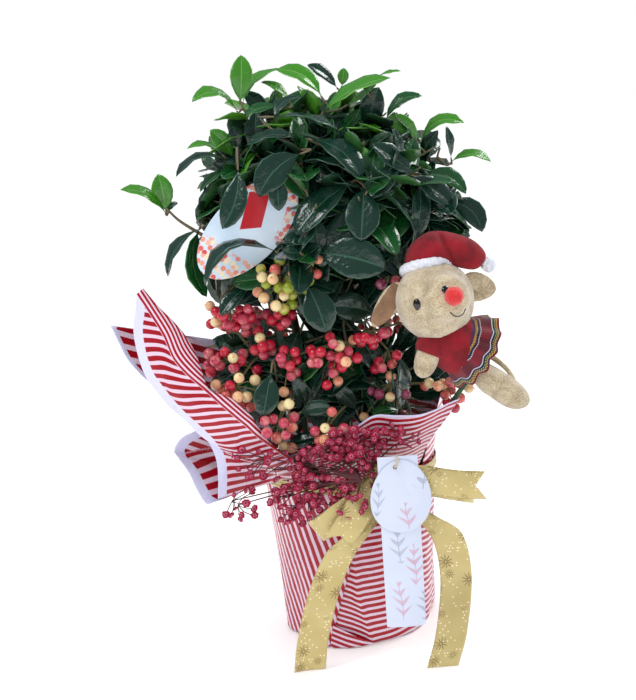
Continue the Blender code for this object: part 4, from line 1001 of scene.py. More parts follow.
def make_bow(satin):
    right = KNOT.x + KNOT_SIZE.x / 2 + 0.75 * MM
    left = KNOT.x - KNOT_SIZE.x / 2 - 0.75 * MM
    y = KNOT.y
    z = KNOT.z
    start_right = Vector((right - 3.0 * MM, y + 2.2 * MM, z))
    start_left = Vector((left + 3.0 * MM, y + 2.2 * MM, z))
    ribbon("bow_loop_right", "ribbon_loop_right", satin,
           [start_right, *map(lambda p: millimetres(*p),
                              ((52, -106, 146), (78, -104, 138), (88, -96, 133), (82, -89, 132),
                               (62, -88, 137), (46, -91, 144))),
            start_right + millimetres(0, 2, 0)],
           swinging((0.05, 0.0, 1.0)), RIBBON_WIDTH * 0.8, gathered=0.62)
    ribbon("bow_loop_left", "ribbon_loop_left", satin,
           [start_left, *map(lambda p: millimetres(*p),
                             ((2, -107, 138), (-20, -108, 122), (-31, -101, 114), (-24, -93, 115),
                              (-8, -91, 124), (6, -92, 136))),
            start_left + millimetres(0, 2, 0)],
           swinging((-0.55, 0.0, 0.83)), RIBBON_WIDTH * 0.8, gathered=0.62)
    ribbon("bow_end_right", "ribbon_end_right", satin,
           [Vector((right, y - 2.6 * MM, z + 1 * MM)), millimetres(52, -110, 149),
            millimetres(76, -109, 143), millimetres(97, -104, 139)],
           leaning((0, 0, 1), (0, 0, 1)), RIBBON_WIDTH * 0.9, notch=0.13, gathered=0.7,
           curl=-1.2 * MM, rows=80)
    ribbon("bow_end_left", "ribbon_end_left", satin,
           [Vector((left, y - 2.2 * MM, z - 6 * MM)), millimetres(4, -111, 134),
            millimetres(-6, -113, 121), millimetres(-16, -112, 108)],
           leaning((0, 0, 1), (-0.9, 0.0, 0.45), 0.5), RIBBON_WIDTH * 0.9, notch=0.13,
           gathered=0.7, rows=80)
    under = z - KNOT_SIZE.z / 2 - 0.9 * MM
    ribbon("tail_left", "ribbon_tail_left", satin,
           [Vector((KNOT.x - 3 * MM, -99 * MM, under)), millimetres(9, -99.5, 118),
            millimetres(-13, -99, 96), millimetres(-29, -99, 64), millimetres(-40, -97, 28),
            millimetres(-45, -95, 1)],
           leaning((1, 0, 0), (1.0, 0.08, 0.0), 0.33), RIBBON_WIDTH, gathered=0.28,
           curl=1.0 * MM, rows=150)
    ribbon("tail_right", "ribbon_tail_right", satin,
           [Vector((KNOT.x + 4 * MM, -98 * MM, under)), millimetres(48, -97, 119),
            millimetres(66, -95, 100), millimetres(71, -95, 66), millimetres(64, -103, 26),
            millimetres(55, -109, 1)],
           leaning((1, 0, 0), (1.0, 0.10, -0.05), 0.33), RIBBON_WIDTH, gathered=0.28,
           curl=1.0 * MM, rows=150)

    def band_place(u, v):
        turn = math.tau * u
        swell = 0.35 * MM * math.sin(v * math.pi * 5.0 + math.sin(turn * 3.0) * 1.5)
        radius = 70.4 * MM + swell
        return Vector((radius * math.cos(turn), radius * math.sin(turn), mix(0.1301, 0.1379, v)))

    def band_prints(u, v, side, point):
        return u * math.tau * 70.4 * MM, (v - 0.5) * RIBBON_WIDTH

    band = thin_sheet("neck_band", 180, 14, band_place, band_prints)
    focus(band)
    bpy.ops.object.mode_set(mode="EDIT")
    bpy.ops.mesh.select_all(action="SELECT")
    bpy.ops.mesh.remove_doubles(threshold=0.00001)
    bpy.ops.object.mode_set(mode="OBJECT")
    thicken(band, SATIN)
    dress(band, satin, "ribbon", "ribbon_band")

    knot = primitive("cube", "bow_knot", size=1.0, location=KNOT, scale=KNOT_SIZE)
    seat(knot)
    modify(knot, "BEVEL", width=2.8 * MM, segments=3, limit_method="NONE")
    modify(knot, "SUBSURF", levels=2, render_levels=2)
    for corner in knot.data.vertices:
        off = corner.co - KNOT
        pinch = 1.0 - 0.16 * math.cos(off.z / KNOT_SIZE.z * math.pi)
        pleat = math.sin(off.x * 1500.0 + math.sin(off.z * 160.0)) * 0.35 * MM
        corner.co.x = KNOT.x + off.x * pinch
        corner.co.y = KNOT.y + off.y * pinch + math.copysign(pleat, off.y)
    chart = knot.data.uv_layers[0]
    chart.name = "print"
    for loop in knot.data.loops:
        place = knot.data.vertices[loop.vertex_index].co - KNOT
        chart.data[loop.index].uv = (place.z + place.y, place.x)
    straps = [knot]
    for side in (-1.0, 1.0):
        end_x = KNOT.x + side * 10.0 * MM
        end = Vector((end_x, -math.sqrt((71.3 * MM) ** 2 - end_x ** 2), 134.0 * MM))
        start = KNOT + millimetres(side * 3.0, 2.0, -2.0)

        def strap_place(u, v, start=start, end=end):
            return mix(start, end, v) + UP * ((u - 0.5) * 8.0 * MM) + UP * (
                math.sin(v * math.pi) * 1.2 * MM)

        def strap_prints(u, v, side, point):
            return v * 35.0 * MM, (u - 0.5) * RIBBON_WIDTH

        strap = thin_sheet("strap", 6, 16, strap_place, strap_prints)
        straps.append(thicken(strap, SATIN))
    knot = joined(straps, "bow_knot")
    soften(knot, 40)
    dress(knot, satin, "ribbon", "ribbon_knot")


# Cards, label and twine

TAG_CENTRE = millimetres(33, -117.9, 141)
TAG_HOLE = (-4.7 * MM, 22.0 * MM)
TAG_SIZE = (44.0 * MM, 55.0 * MM)
CARD_TOP = millimetres(32.5, -116.5, 171)
CARD_HOLE = (-2.1 * MM, -7.7 * MM)
CARD_SIZE = (29.0 * MM, 131.0 * MM)
CARD_THICK = 0.9 * MM
LABEL_CENTRE = millimetres(-61, -66, 338)
LABEL_FOOT = millimetres(-22, -34, 114.3)


def punch(piece, place):
    """A round cord hole through a card, by a short rod that cuts it."""
    rod = primitive("cylinder", "rod", vertices=32, radius=1.5 * MM, depth=8.0 * MM,
                    location=place, rotation=(math.radians(90.0), 0.0, 0.0))
    seat(rod)
    modify(piece, "BOOLEAN", operation="DIFFERENCE", object=rod, solver="EXACT")
    bpy.data.objects.remove(rod, do_unlink=True)


def make_cards(tag_print, card_print, label_prints, twine_finish):
    lean = Matrix.Rotation(math.radians(5), 4, "Y")
    tag = primitive("cylinder", "gift_tag", vertices=128, radius=TAG_SIZE[0] / 2,
                    depth=CARD_THICK, rotation=(math.radians(90.0), 0.0, 0.0))
    seat(tag)
    for corner in tag.data.vertices:
        up = corner.co.z / (TAG_SIZE[0] / 2)
        corner.co.x *= 1.0 - 0.10 * up
        corner.co.z *= TAG_SIZE[1] / TAG_SIZE[0]
    tag.data.transform(Matrix.Translation(TAG_CENTRE) @ lean)
    hole = TAG_CENTRE + lean @ Vector((TAG_HOLE[0], 0.0, TAG_HOLE[1]))
    punch(tag, hole)
    modify(tag, "BEVEL", width=0.15 * MM, segments=2, limit_method="ANGLE")
    soften(tag, 40)
    dress(tag, tag_print, "card", "gift_tag")

    width, height = CARD_SIZE
    tilt = Matrix.Translation(CARD_TOP) @ Matrix.Rotation(math.radians(1), 4, "Y")
    card = primitive("cube", "long_card", size=1.0, location=(0.0, 0.0, -height / 2),
                     scale=(width, CARD_THICK, height))
    seat(card)
    focus(card)
    bpy.ops.object.mode_set(mode="EDIT")
    bpy.ops.mesh.select_all(action="SELECT")
    bpy.ops.mesh.subdivide(number_cuts=9)
    bpy.ops.object.mode_set(mode="OBJECT")
    punch(card, Vector((CARD_HOLE[0], 0.0, CARD_HOLE[1])))
    for corner in card.data.vertices:
        droop = clamp(-corner.co.z / height)
        corner.co.y -= 1.6 * MM * droop * droop
        corner.co.y += 12.0 * corner.co.x ** 2 * droop
    card.data.transform(tilt)
    modify(card, "BEVEL", width=0.12 * MM, segments=2, limit_method="ANGLE")
    soften(card, 40)
    dress(card, card_print, "card", "long_card")

    make_label(label_prints)

    cord_start = KNOT + Vector((5.0 * MM, -KNOT_SIZE.y / 2 - 1.0 * MM, 6.0 * MM))
    route = [cord_start, hole + millimetres(-1, 6, -2), hole + millimetres(0, 2.6, 0),
             hole + millimetres(0, -2.2, 0.6), hole + millimetres(1.5, -2.6, 3.0),
             hole + millimetres(2.2, -1.6, 6.0), hole + millimetres(1.2, 1.6, 8.0)]
    path = curve_through(route, 50)
    plies = Heap()
    for ply in range(3):
        twisted = []
        for index, (centre, (_, side, across)) in enumerate(zip(path, frames_along(path))):
            turn = index * 0.62 + math.tau * ply / 3
            twisted.append(centre + (side * math.cos(turn) + across * math.sin(turn)) * 0.38 * MM)
        plies.tube(twisted, [0.42 * MM] * 50, 8)
    cord = plies.piece("tag_cord", [twine_finish])
    dress(cord, None, "twine", "twine")


def make_label(prints):
    """An oval plastic label: a white rim, a printed face let into it, and its stake."""
    white, face_print, stake_in_shade = prints
    long_axis = millimetres(72, 12, 60).normalized()
    face = Vector((-0.12, -0.97, 0.22)).normalized()
    short_axis = face.cross(long_axis).normalized()
    face = short_axis.cross(long_axis).normalized()
    turn = Matrix((long_axis, face, short_axis)).transposed().to_4x4()
    place = Matrix.Translation(LABEL_CENTRE) @ turn
    oval = primitive("cylinder", "plant_label", vertices=96, radius=1.0, depth=CARD_THICK,
                     rotation=(math.radians(90.0), 0.0, 0.0))
    seat(oval)
    for corner in oval.data.vertices:
        corner.co.x *= 46.5 * MM
        corner.co.z *= 25.0 * MM
    focus(oval)
    bpy.ops.object.mode_set(mode="EDIT")
    bpy.ops.mesh.select_all(action="DESELECT")
    bpy.ops.object.mode_set(mode="OBJECT")
    for side in oval.data.polygons:
        side.select = abs(side.normal.y) > 0.9
    bpy.ops.object.mode_set(mode="EDIT")
    bpy.ops.mesh.inset(thickness=1.3 * MM, depth=0.0)
    bpy.ops.mesh.inset(thickness=0.15 * MM, depth=-0.12 * MM)
    bpy.ops.object.mode_set(mode="OBJECT")
    oval.data.materials.append(white)
    oval.data.materials.append(face_print)
    chart = oval.data.uv_layers[0]
    chart.name = "print"
    for side in oval.data.polygons:
        flat = abs(side.normal.y) > 0.9 and len(side.vertices) > 20
        side.material_index = 1 if flat else 0
        for loop in side.loop_indices:
            point = oval.data.vertices[oval.data.loops[loop].vertex_index].co
            chart.data[loop].uv = (point.x, point.z)
    oval.data.transform(place)
    stake_top = LABEL_CENTRE - short_axis * (4.0 * MM) + face * (0.9 * MM)
    ahead = stake_top - LABEL_FOOT
    across = ahead.cross(face).normalized()
    stake = primitive("cube", "stake", size=1.0)
    focus(stake)
    bpy.ops.object.mode_set(mode="EDIT")
    bpy.ops.mesh.subdivide(number_cuts=1)
    bpy.ops.object.mode_set(mode="OBJECT")
    normal = across.cross(ahead.normalized()).normalized()
    for corner in stake.data.vertices:
        share = corner.co.z + 0.5
        half = 5.0 * MM * corner.co.x * (1.0 if share > 0.3 else 0.45)
        rib = 0.35 * MM if abs(corner.co.x) < 0.1 else 0.0
        thick = (1.1 * MM + rib * 2) * corner.co.y
        corner.co = LABEL_FOOT + ahead * share + across * half + normal * thick
    # The stake is a very dark green that paints it into the shade of the crown.
    stake.data.materials.append(stake_in_shade)
    label = joined([oval, stake], "plant_label_face")
    outward(label)
    soften(label, 30)
    dress(label, None, "label", "plant_label")


# Plush mouse

ELEVATION = math.radians(12.0)
ROLL = math.radians(5.0)
back = Vector((0.0, -math.cos(ELEVATION), math.sin(ELEVATION)))
level = Vector((1.0, 0.0, 0.0))
upright = Vector((0.0, math.sin(ELEVATION), math.cos(ELEVATION)))
view_right = level * math.cos(ROLL) - upright * math.sin(ROLL)
view_up = level * math.sin(ROLL) + upright * math.cos(ROLL)

HEAD_RADIUS = 28.0 * MM
FACING = Vector((0.255, -0.95, 0.175)).normalized()
BODY_AXIS = Vector((0.62, 0.06, -0.78)).normalized()
BOBBLE_PLACE = millimetres(40, 2.4, 21.5)


def middle_of(node):
    low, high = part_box(node)
    return (Vector(low) + Vector(high)) / 2


def head_centre():
    """The toy's place, read from the bobble of its hat."""
    return middle_of("toy_hat_bobble") - BOBBLE_PLACE


HEAD = head_centre()


def stuffed(name, centre, axis, along, across, taper=0.0, flat=1.0, segments=48, rings=28):
    """A stuffed limb: a sphere drawn out along an axis, thicker to one end, with soft dents."""
    piece = primitive("uv_sphere", name, segments=segments, ring_count=rings, radius=1.0)
    turn = axis.normalized().to_track_quat("Z", "Y").to_matrix()
    for corner in piece.data.vertices:
        point = corner.co.copy()
        swell = 1.0 + taper * point.z
        blunt = math.copysign(abs(point.z) ** 0.86, point.z)
        body = Vector((point.x * across * swell, point.y * across * flat * swell, blunt * along))
        corner.co = centre + turn @ body
    piece.data.update()
    dented = [corner.co + corner.normal * (noise.noise(corner.co * 75.0) * 0.9 * MM)
              for corner in piece.data.vertices]
    for corner, point in zip(piece.data.vertices, dented):
        corner.co = point
    return soften(piece)


def nap(piece, amount, scale):
    """Short pile as a fine unevenness of the surface itself."""
    piece.data.update()
    moved = []
    for corner in piece.data.vertices:
        lift = noise.noise(corner.co * scale) + 0.5 * noise.noise(corner.co * scale * 2.3)
        moved.append(corner.co + corner.normal * (lift * amount))
    for corner, point in zip(piece.data.vertices, moved):
        corner.co = point
    piece.data.update()
    return piece


def tree_of(piece):
    mesh = piece.data
    return BVHTree.FromPolygons([tuple(corner.co) for corner in mesh.vertices],
                                [tuple(face.vertices) for face in mesh.polygons])


def make_head(plush, ear_felt, bead, thread):
    head = primitive("uv_sphere", "mouse_head", segments=96, ring_count=64, radius=HEAD_RADIUS)
    turn = FACING.to_track_quat("Z", "Y").to_matrix()
    muzzle_axis = (middle_of("toy_nose") - HEAD).normalized()
    reach = (middle_of("toy_nose") - HEAD).length - HEAD_RADIUS - 3.5 * MM
    for corner in head.data.vertices:
        out = (turn @ corner.co).normalized()
        facing = clamp((out.dot(muzzle_axis) - 0.72) / 0.28)
        push = reach * smooth_step(facing, 0.0, 0.62)
        cheek = 1.6 * MM * clamp(-out.z) * clamp(1.0 - abs(out.dot(muzzle_axis)) * 0.6)
        point = out * (HEAD_RADIUS + cheek) + muzzle_axis * push
        corner.co = HEAD + point
    nap(head, 0.22 * MM, 420.0)
    soften(head)
    skull = tree_of(head)

    def on_face(right_mm, up_mm, lift=0.0):
        """The point of the face that the viewer sees at this offset from the head's middle."""
        aim = HEAD + (view_right * right_mm + view_up * up_mm) * MM
        place, normal, _, _ = skull.ray_cast(EYE, (aim - EYE).normalized(), 2.0)
        return place + normal * (lift * MM), normal

    ears = []
    for shift, axis, along, across, felt_way in (
            (millimetres(-34, 5, -2), Vector((-0.60, 0.05, -0.79)), 19.0 * MM, 8.0 * MM, 1.0),
            (millimetres(32, 8, 5), Vector((0.93, 0.1, -0.25)), 14.0 * MM, 10.5 * MM, -1.0)):
        ear = primitive("uv_sphere", "ear", segments=48, ring_count=32, radius=1.0)
        forward = Vector((0.0, -1.0, 0.0))
        side = forward.cross(axis).normalized()
        front = axis.cross(side).normalized()
        if front.y > 0.0:
            front = -front
        for corner in ear.data.vertices:
            p = corner.co.copy()
            width = across * (1.0 - 0.22 * p.z)
            hollow = 2.4 * MM * (1.0 - p.x * p.x) * (1.0 if p.y > 0.0 else 0.25)
            offset = side * (p.x * width) + axis.normalized() * (p.z * along)
            offset += front * (p.y * 3.1 * MM - hollow * (1.0 - p.z * p.z) * 0.8)
            offset += front * (1.8 * MM * p.x * p.x)
            corner.co = HEAD + shift + offset
        ear.data.materials.append(plush)
        ear.data.materials.append(ear_felt)
        ear.data.update()
        for face in ear.data.polygons:
            local = face.center - (HEAD + shift)
            inside = abs(local.dot(side)) < across * 0.80 and abs(
                local.dot(axis.normalized())) < along * 0.88
            face.material_index = 1 if face.normal.dot(front * felt_way) > 0.45 and inside else 0
        nap(ear, 0.12 * MM, 420.0)
        ears.append(soften(ear))
    head.data.materials.append(plush)
    head = joined([head, *ears], "mouse_head")
    dress(head, None, "plush", "toy_head")

    beads = []
    for right_mm, up_mm, tall, sink in ((-12.8, -3.8, 4.3, 0.4), (7.6, 6.9, 3.4, 0.9)):
        place, normal = on_face(right_mm, up_mm, -sink)
        eye = primitive("uv_sphere", "eye", segments=28, ring_count=18, radius=1.0)
        up_way = (view_up - normal * view_up.dot(normal)).normalized()
        side_way = normal.cross(up_way)
        for corner in eye.data.vertices:
            p = corner.co.copy()
            drop = 1.0 - 0.34 * clamp(-p.y)
            corner.co = place + (side_way * (p.x * 3.1 * drop) + up_way * (p.y * tall)
                                 + normal * (p.z * 2.2)) * MM
        beads.append(soften(eye))
    eyes = joined(beads, "mouse_eyes")
    dress(eyes, bead, "plush", "toy_head")

    stitched = [on_face(right_mm, up_mm, 0.25)[0] for right_mm, up_mm in
                ((10.9, -9.0), (12.6, -10.8), (15.0, -11.9), (18.0, -11.6), (20.4, -9.6),
                 (21.8, -6.4))]
    smile = Heap()
    smile.tube(curve_through(stitched, 40), [0.42 * MM] * 40, 8)
    mouth = smile.piece("mouse_smile", [thread])
    dress(mouth, None, "plush", "toy_head")
    return skull, on_face


def make_hat(felt, fleece, on_face):
    route = [HEAD + millimetres(*step) for step in
             ((-2, 7.5, 22.5), (-2.5, 6.5, 27), (-1, 4.5, 32), (3, 2.5, 36), (12, 1.5, 35.5),
              (22, 1, 32), (30, 1.5, 26.5), (35, 2, 22))]
    radii = [17.2, 17.2, 15.0, 12.0, 11.0, 10.5, 8.5, 5.5]
    rows = 72
    path = curve_through([Vector((*point, radius * MM)) for point, radius in zip(route, radii)],
                         rows + 1)
    frames = frames_along([point.to_3d() for point in path])

    def place(u, v):
        index = round(v * rows)
        centre = path[index].to_3d()
        ahead, side, across = frames[index]
        turn = math.tau * u
        wrinkle = 1.0 + 0.05 * math.sin(turn * 3.0 + v * 9.0) * smooth_step(v, 0.25, 0.5)
        radius = path[index].w * wrinkle
        if v > 0.94:
            radius *= math.sqrt(max(0.0, 1.0 - ((v - 0.94) / 0.06) ** 2)) * 0.96 + 0.04
        point = centre + (side * math.cos(turn) + across * math.sin(turn)) * radius
        crease = HEAD + millimetres(10, -10, 38)
        near = (Vector((point.x, 0.0, point.z)) - Vector((crease.x, 0.0, crease.z)))
        groove = math.exp(-((near.x - near.z * -0.55) / 0.0032) ** 2) * smooth_step(
            near.length, 0.020, 0.004)
        if point.y < centre.y:
            point.y += groove * 4.0 * MM
        return point

    hat = thin_sheet("mouse_hat", 96, rows, place, lambda u, v, side, point: (u, v))
    focus(hat)
    bpy.ops.object.mode_set(mode="EDIT")
    bpy.ops.mesh.select_all(action="SELECT")
    bpy.ops.mesh.remove_doubles(threshold=0.00002)
    bpy.ops.mesh.normals_make_consistent(inside=False)
    bpy.ops.object.mode_set(mode="OBJECT")
    rumple(hat, 1.4 * MM, 0.8 * MM, 1.3)
    modify(hat, "SOLIDIFY", thickness=1.1 * MM, offset=-1.0, use_even_offset=False)
    soften(hat)
    dress(hat, felt, "felt", "toy_hat")

    rise = Vector((-0.06, 0.34, 0.94)).normalized()
    deep = rise.cross(Vector((1.0, 0.0, 0.0))).normalized()
    wide = deep.cross(rise)
    brim = HEAD + rise * (23.6 * MM) + millimetres(-1.5, 0, 0)

    def outward_at(turn):
        return wide * math.cos(turn) + deep * math.sin(turn)

    def trim_place(u, v):
        turn = math.tau * u
        peak = 2.4 * MM * math.exp(-((math.degrees(turn) - 305.0) / 11.0) ** 2)
        centre = brim + outward_at(turn) * (17.9 * MM) + rise * peak
        around = math.tau * v
        return (centre + outward_at(turn) * (2.6 * MM * math.cos(around))
                + rise * (3.6 * MM * math.sin(around)))

    trim = thin_sheet("hat_trim", 220, 28, trim_place, lambda u, v, side, point: (u, v))
    focus(trim)
    bpy.ops.object.mode_set(mode="EDIT")
    bpy.ops.mesh.select_all(action="SELECT")
    bpy.ops.mesh.remove_doubles(threshold=0.00002)
    bpy.ops.mesh.normals_make_consistent(inside=False)
    bpy.ops.object.mode_set(mode="OBJECT")
    nap(trim, 0.75 * MM, 380.0)
    soften(trim)
    dress(trim, fleece, "fleece", "toy_hat_trim")

    bobble = primitive("ico_sphere", "hat_bobble", subdivisions=5, radius=5.6 * MM,
                       location=middle_of("toy_hat_bobble"))
    seat(bobble)
    nap(bobble, 0.9 * MM, 360.0)
    soften(bobble)
    dress(bobble, fleece, "fleece", "toy_hat_bobble")


def make_toy(plush, ear_felt, bead, thread, felt, fleece, tartan, pompom):
    skull, on_face = make_head(plush, ear_felt, bead, thread)
    nose = primitive("ico_sphere", "mouse_nose", subdivisions=5, radius=6.5 * MM,
                     location=middle_of("toy_nose"))
    seat(nose)
    nap(nose, 0.5 * MM, 520.0)
    soften(nose)
    dress(nose, pompom, "pompom", "toy_nose")
    make_hat(felt, fleece, on_face)

    shoulder = HEAD + BODY_AXIS * (37 * MM)
    bodice = stuffed("mouse_bodice", shoulder + millimetres(-9, -1, -6), BODY_AXIS, 24.0 * MM,
                     20.5 * MM, segments=64, rings=40)
    rumple(bodice, 0.9 * MM, 0.6 * MM, 1.4)
    sleeve_axis = Vector((-0.42, -0.15, -0.88)).normalized()
    arm_centre = shoulder + millimetres(-30.5, -9, -9)
    cuff = stuffed("cuff", arm_centre - sleeve_axis * (8.0 * MM), sleeve_axis, 13.0 * MM,
                   11.6 * MM, taper=0.10)
    for corner in cuff.data.vertices:
        past = (corner.co - arm_centre).dot(sleeve_axis)
        if past > 0.0:
            corner.co -= sleeve_axis * past
    rumple(cuff, 0.5 * MM, 0.5 * MM, 1.6)
    bodice = joined([bodice, cuff], "mouse_bodice")
    dress(bodice, felt, "felt", "toy_dress")

    hem_centre = shoulder + BODY_AXIS * (14.5 * MM) + millimetres(-8, 0, 1.4)
    skirt_axis = Vector((0.78, 0.28, -0.56)).normalized()
    turn = skirt_axis.to_track_quat("Z", "Y").to_matrix()
    profile = [(16.5, -15.0), (20.0, -10.0), (23.0, -5.0), (26.0, 0.0), (28.0, 4.0)]

    def skirt_place(u, v):
        around = math.tau * u
        radius, along = (reading([row[axis] for row in profile], v) for axis in (0, 1))
        ruffle = 0.5 + 0.5 * math.sin(around * 11.0 + 1.5 * math.sin(around * 2.0))
        radius += (ruffle * 3.2 - 1.6) * v
        along += 0.8 * math.sin(around * 11.0 + 1.0) * v
        return hem_centre + turn @ Vector((radius * math.cos(around), radius * math.sin(around),
                                           along)) * MM

    skirt = thin_sheet("mouse_skirt", 260, 36, skirt_place, lambda u, v, side, point: (u, v))
    focus(skirt)
    bpy.ops.object.mode_set(mode="EDIT")
    bpy.ops.mesh.select_all(action="SELECT")
    bpy.ops.mesh.remove_doubles(threshold=0.00001)
    bpy.ops.mesh.normals_make_consistent(inside=False)
    bpy.ops.object.mode_set(mode="OBJECT")
    thicken(skirt, 0.9 * MM)
    dress(skirt, tartan, "tartan", "toy_skirt")

    hip = shoulder + BODY_AXIS * (21 * MM)
    limbs = {
        "mouse_leg_right": ("toy_leg_right", hip + millimetres(5, -8.5, -20.5),
                            Vector((0.79, -0.05, -0.61)), 26.5, 10.5, 0.12),
        "mouse_leg_left": ("toy_leg_left", hip + millimetres(5.5, 13, -21),
                           Vector((0.75, 0.15, -0.62)), 20.0, 8.6, 0.08),
        "mouse_arm_right": ("toy_arm_right", arm_centre, sleeve_axis, 18.0, 8.6, 0.06),
        "mouse_arm_left": ("toy_arm_left", shoulder + millimetres(4, 22, -2),
                           Vector((0.5, 0.15, -0.8)), 13.5, 7.8, 0.0),
    }
    for name, (node, centre, axis, along, across, taper) in limbs.items():
        limb = stuffed(name, centre, axis, along * MM, across * MM, taper)
        nap(limb, 0.2 * MM, 420.0)
        dress(limb, plush, "plush", node)
    route = [hip + millimetres(*step) for step in
             ((-2, 6, 4), (5, 10.5, -4), (11.5, 10.5, -10), (17, 10.5, -17),
              (21.5, 10.5, -26.5))]
    tail = Heap()
    radii = [mix(2.4, 1.4, index / 39) * MM for index in range(40)]
    tail.tube(curve_through(route, 40), radii, 14)
    tail = tail.piece("mouse_tail", [plush])
    dress(tail, None, "plush", "toy_tail")


# Plant: limbs, twigs and leaves

SOIL_LEVEL = 114.0 * MM
CROWN_CENTRE = Vector((0.0, 0.0, 0.290))
STEM_RADII = (5.2, 3.8, 2.2)
TWIG_RADIUS = 1.7 * MM
TWIG_TIP = 0.8 * MM
LEAF_LENGTH = 54.0 * MM
LEAF_WIDTH = 0.47
LEAF_ZONE = 40.0 * MM

STEMS = {
    "stem_left": [(-17, -8, 0), (-24, -6, 60), (-34, 0, 140), (-44, 2, 205), (-46, 2, 232)],
    "stem_right": [(18, -11, 0), (26, -12, 60), (36, -8, 130), (46, -2, 195), (52, 2, 226)],
    "stem_back": [(3, 19, 0), (2, 26, 70), (0, 24, 150), (-4, 12, 215), (-6, 6, 238)],
}

BOUGHS = {
    "bough_left": ("stem_left", 150, (-58, -8, 186), (-84, -14, 206)),
    "bough_front_left": ("stem_left", 128, (-36, -26, 156), (-32, -54, 180)),
    "bough_right": ("stem_right", 142, (58, -14, 176), (74, -18, 198)),
    "bough_front": ("stem_right", 160, (32, -30, 192), (24, -46, 216)),
    "bough_back_left": ("stem_back", 118, (-26, 46, 150), (-48, 56, 186)),
    "bough_back_right": ("stem_back", 140, (26, 48, 168), (50, 60, 196)),
}

# Each mass: the limb and the height on it (None at its tip), its seed, and its shoots as
# (x, y, z), with z and the height above the soil
MASSES = {
    "leaves_top_left": ("stem_left", None, 11, [(-60, -10, 315), (-39, 22, 298), (-66, -32, 266)]),
    "leaves_top_right": ("stem_right", None, 12, [(46, 2, 297), (67, -8, 281), (91, 6, 266)]),
    "leaves_top_mid": ("stem_back", None, 13, [(-2, -12, 301), (18, 27, 307), (-18, -46, 276)]),
    "leaves_left": ("bough_left", None, 14, [(-124, -18, 240), (-94, -22, 226), (-98, 14, 232)]),
    "leaves_front_low": ("bough_front_left", None, 15, [(-22, -84, 212), (-44, -64, 196),
                                                  (-16, -74, 248)]),
    "leaves_right": ("bough_right", None, 16, [(96, -12, 230), (66, -50, 230), (98, 26, 216)]),
    "leaves_front": ("bough_front", None, 17, [(24, -56, 268), (28, -78, 250), (58, -44, 262)]),
    "leaves_back_left": ("bough_back_left", None, 18, [(-72, 52, 270), (-26, 72, 280), (-102, 44, 226),
                                                 (-58, 90, 222), (-14, 98, 190)]),
    "leaves_back_right": ("bough_back_right", None, 19, [(28, 70, 278), (78, 50, 256), (52, 92, 226),
                                                   (104, 44, 206), (78, 76, 182)]),
    "leaves_inner": ("stem_left", 80, 20, [(-68, -40, 128), (-28, -56, 112), (34, -50, 118)]),
}


def above_soil(x, y, z):
    return millimetres(x, y, z) + UP * SOIL_LEVEL


def limb_point(path, height):
    level_here = SOIL_LEVEL + height * MM
    for start, end in zip(path, path[1:]):
        if start.z <= level_here <= end.z:
            return mix(start, end, (level_here - start.z) / (end.z - start.z))
    return path[-1]


def bark_tube(heap, path, radii):
    """A limb with ridges along it, scars across it and small knots."""
    points = []
    sides = 18
    for index, (centre, radius) in enumerate(zip(path, radii)):
        ahead, side, across = frames_along(path)[index]
        scar = 0.10 * math.exp(-((index % 9 - 4) / 1.1) ** 2)
        for corner in range(sides):
            turn = math.tau * corner / sides
            out = side * math.cos(turn) + across * math.sin(turn)
            place = centre + out * radius
            ridge = 0.10 * noise.noise(Vector((turn * 2.2, place.z * 90.0, 1.0)))
            knot = 0.14 * max(0.0, noise.noise(place * 130.0) - 0.15)
            points.append(centre + out * (radius * (1.0 + ridge + scar + knot)))
    faces = [tuple(range(sides))[::-1]]
    for ring in range(len(path) - 1):
        low = ring * sides
        for corner in range(sides):
            after = (corner + 1) % sides
            faces.append((low + corner, low + after, low + sides + after, low + sides + corner))
    last = (len(path) - 1) * sides
    faces.append(tuple(last + corner for corner in range(sides)))
    heap.add(points, faces)


def make_limbs(bark):
    paths = {}
    bark_pieces = {}
    for name, route in STEMS.items():
        heap = Heap()
        path = curve_through([above_soil(*point) + UP * 0.6 * MM for point in route], 60)
        foot, waist, tip = (radius * MM for radius in STEM_RADII)
        radii = [mix(waist, tip, index / 59) + (foot - waist) * max(0.0, 1 - index / 7) ** 2
                 for index in range(60)]
        path[0].z = SOIL_LEVEL + 0.6 * MM
        bark_tube(heap, path, radii)
        paths[name] = path
        bark_pieces[name] = heap
    for name, (parent, height, bend, tip) in BOUGHS.items():
        heap = Heap()
        root = limb_point(paths[parent], height)
        path = curve_through([root, above_soil(*bend), above_soil(*tip)], 30)
        bark_tube(heap, path, [mix(2.3, 1.7, index / 29) * MM for index in range(30)])
        paths[name] = path
        bark_pieces[name] = heap
    for name, heap in bark_pieces.items():
        dress(heap.piece(name + "_bark", [bark]), None, "bark", name)
    return paths


# A leaf's cross-sections: their places along it, their widths, and the places and heights across
BLADE_SHARES = (0.0, 0.07, 0.19, 0.35, 0.52, 0.68, 0.83, 0.94)
BLADE_WIDTHS = (0.035, 0.10, 0.50, 0.85, 1.0, 0.94, 0.69, 0.34)
BLADE_ACROSS = (-1.0, -0.93, -0.5, -0.05, 0.05, 0.5, 0.93, 1.0)
BLADE_RISE = (0.13, 0.18, 0.17, 0.0, 0.0, 0.17, 0.18, 0.13)
# The margins take the paler rib green: a painted highlight along each leaf's edge.
HIGHLIT_MARGIN, FLESH, RIB, UNDERSIDE = 1, 0, 1, 2


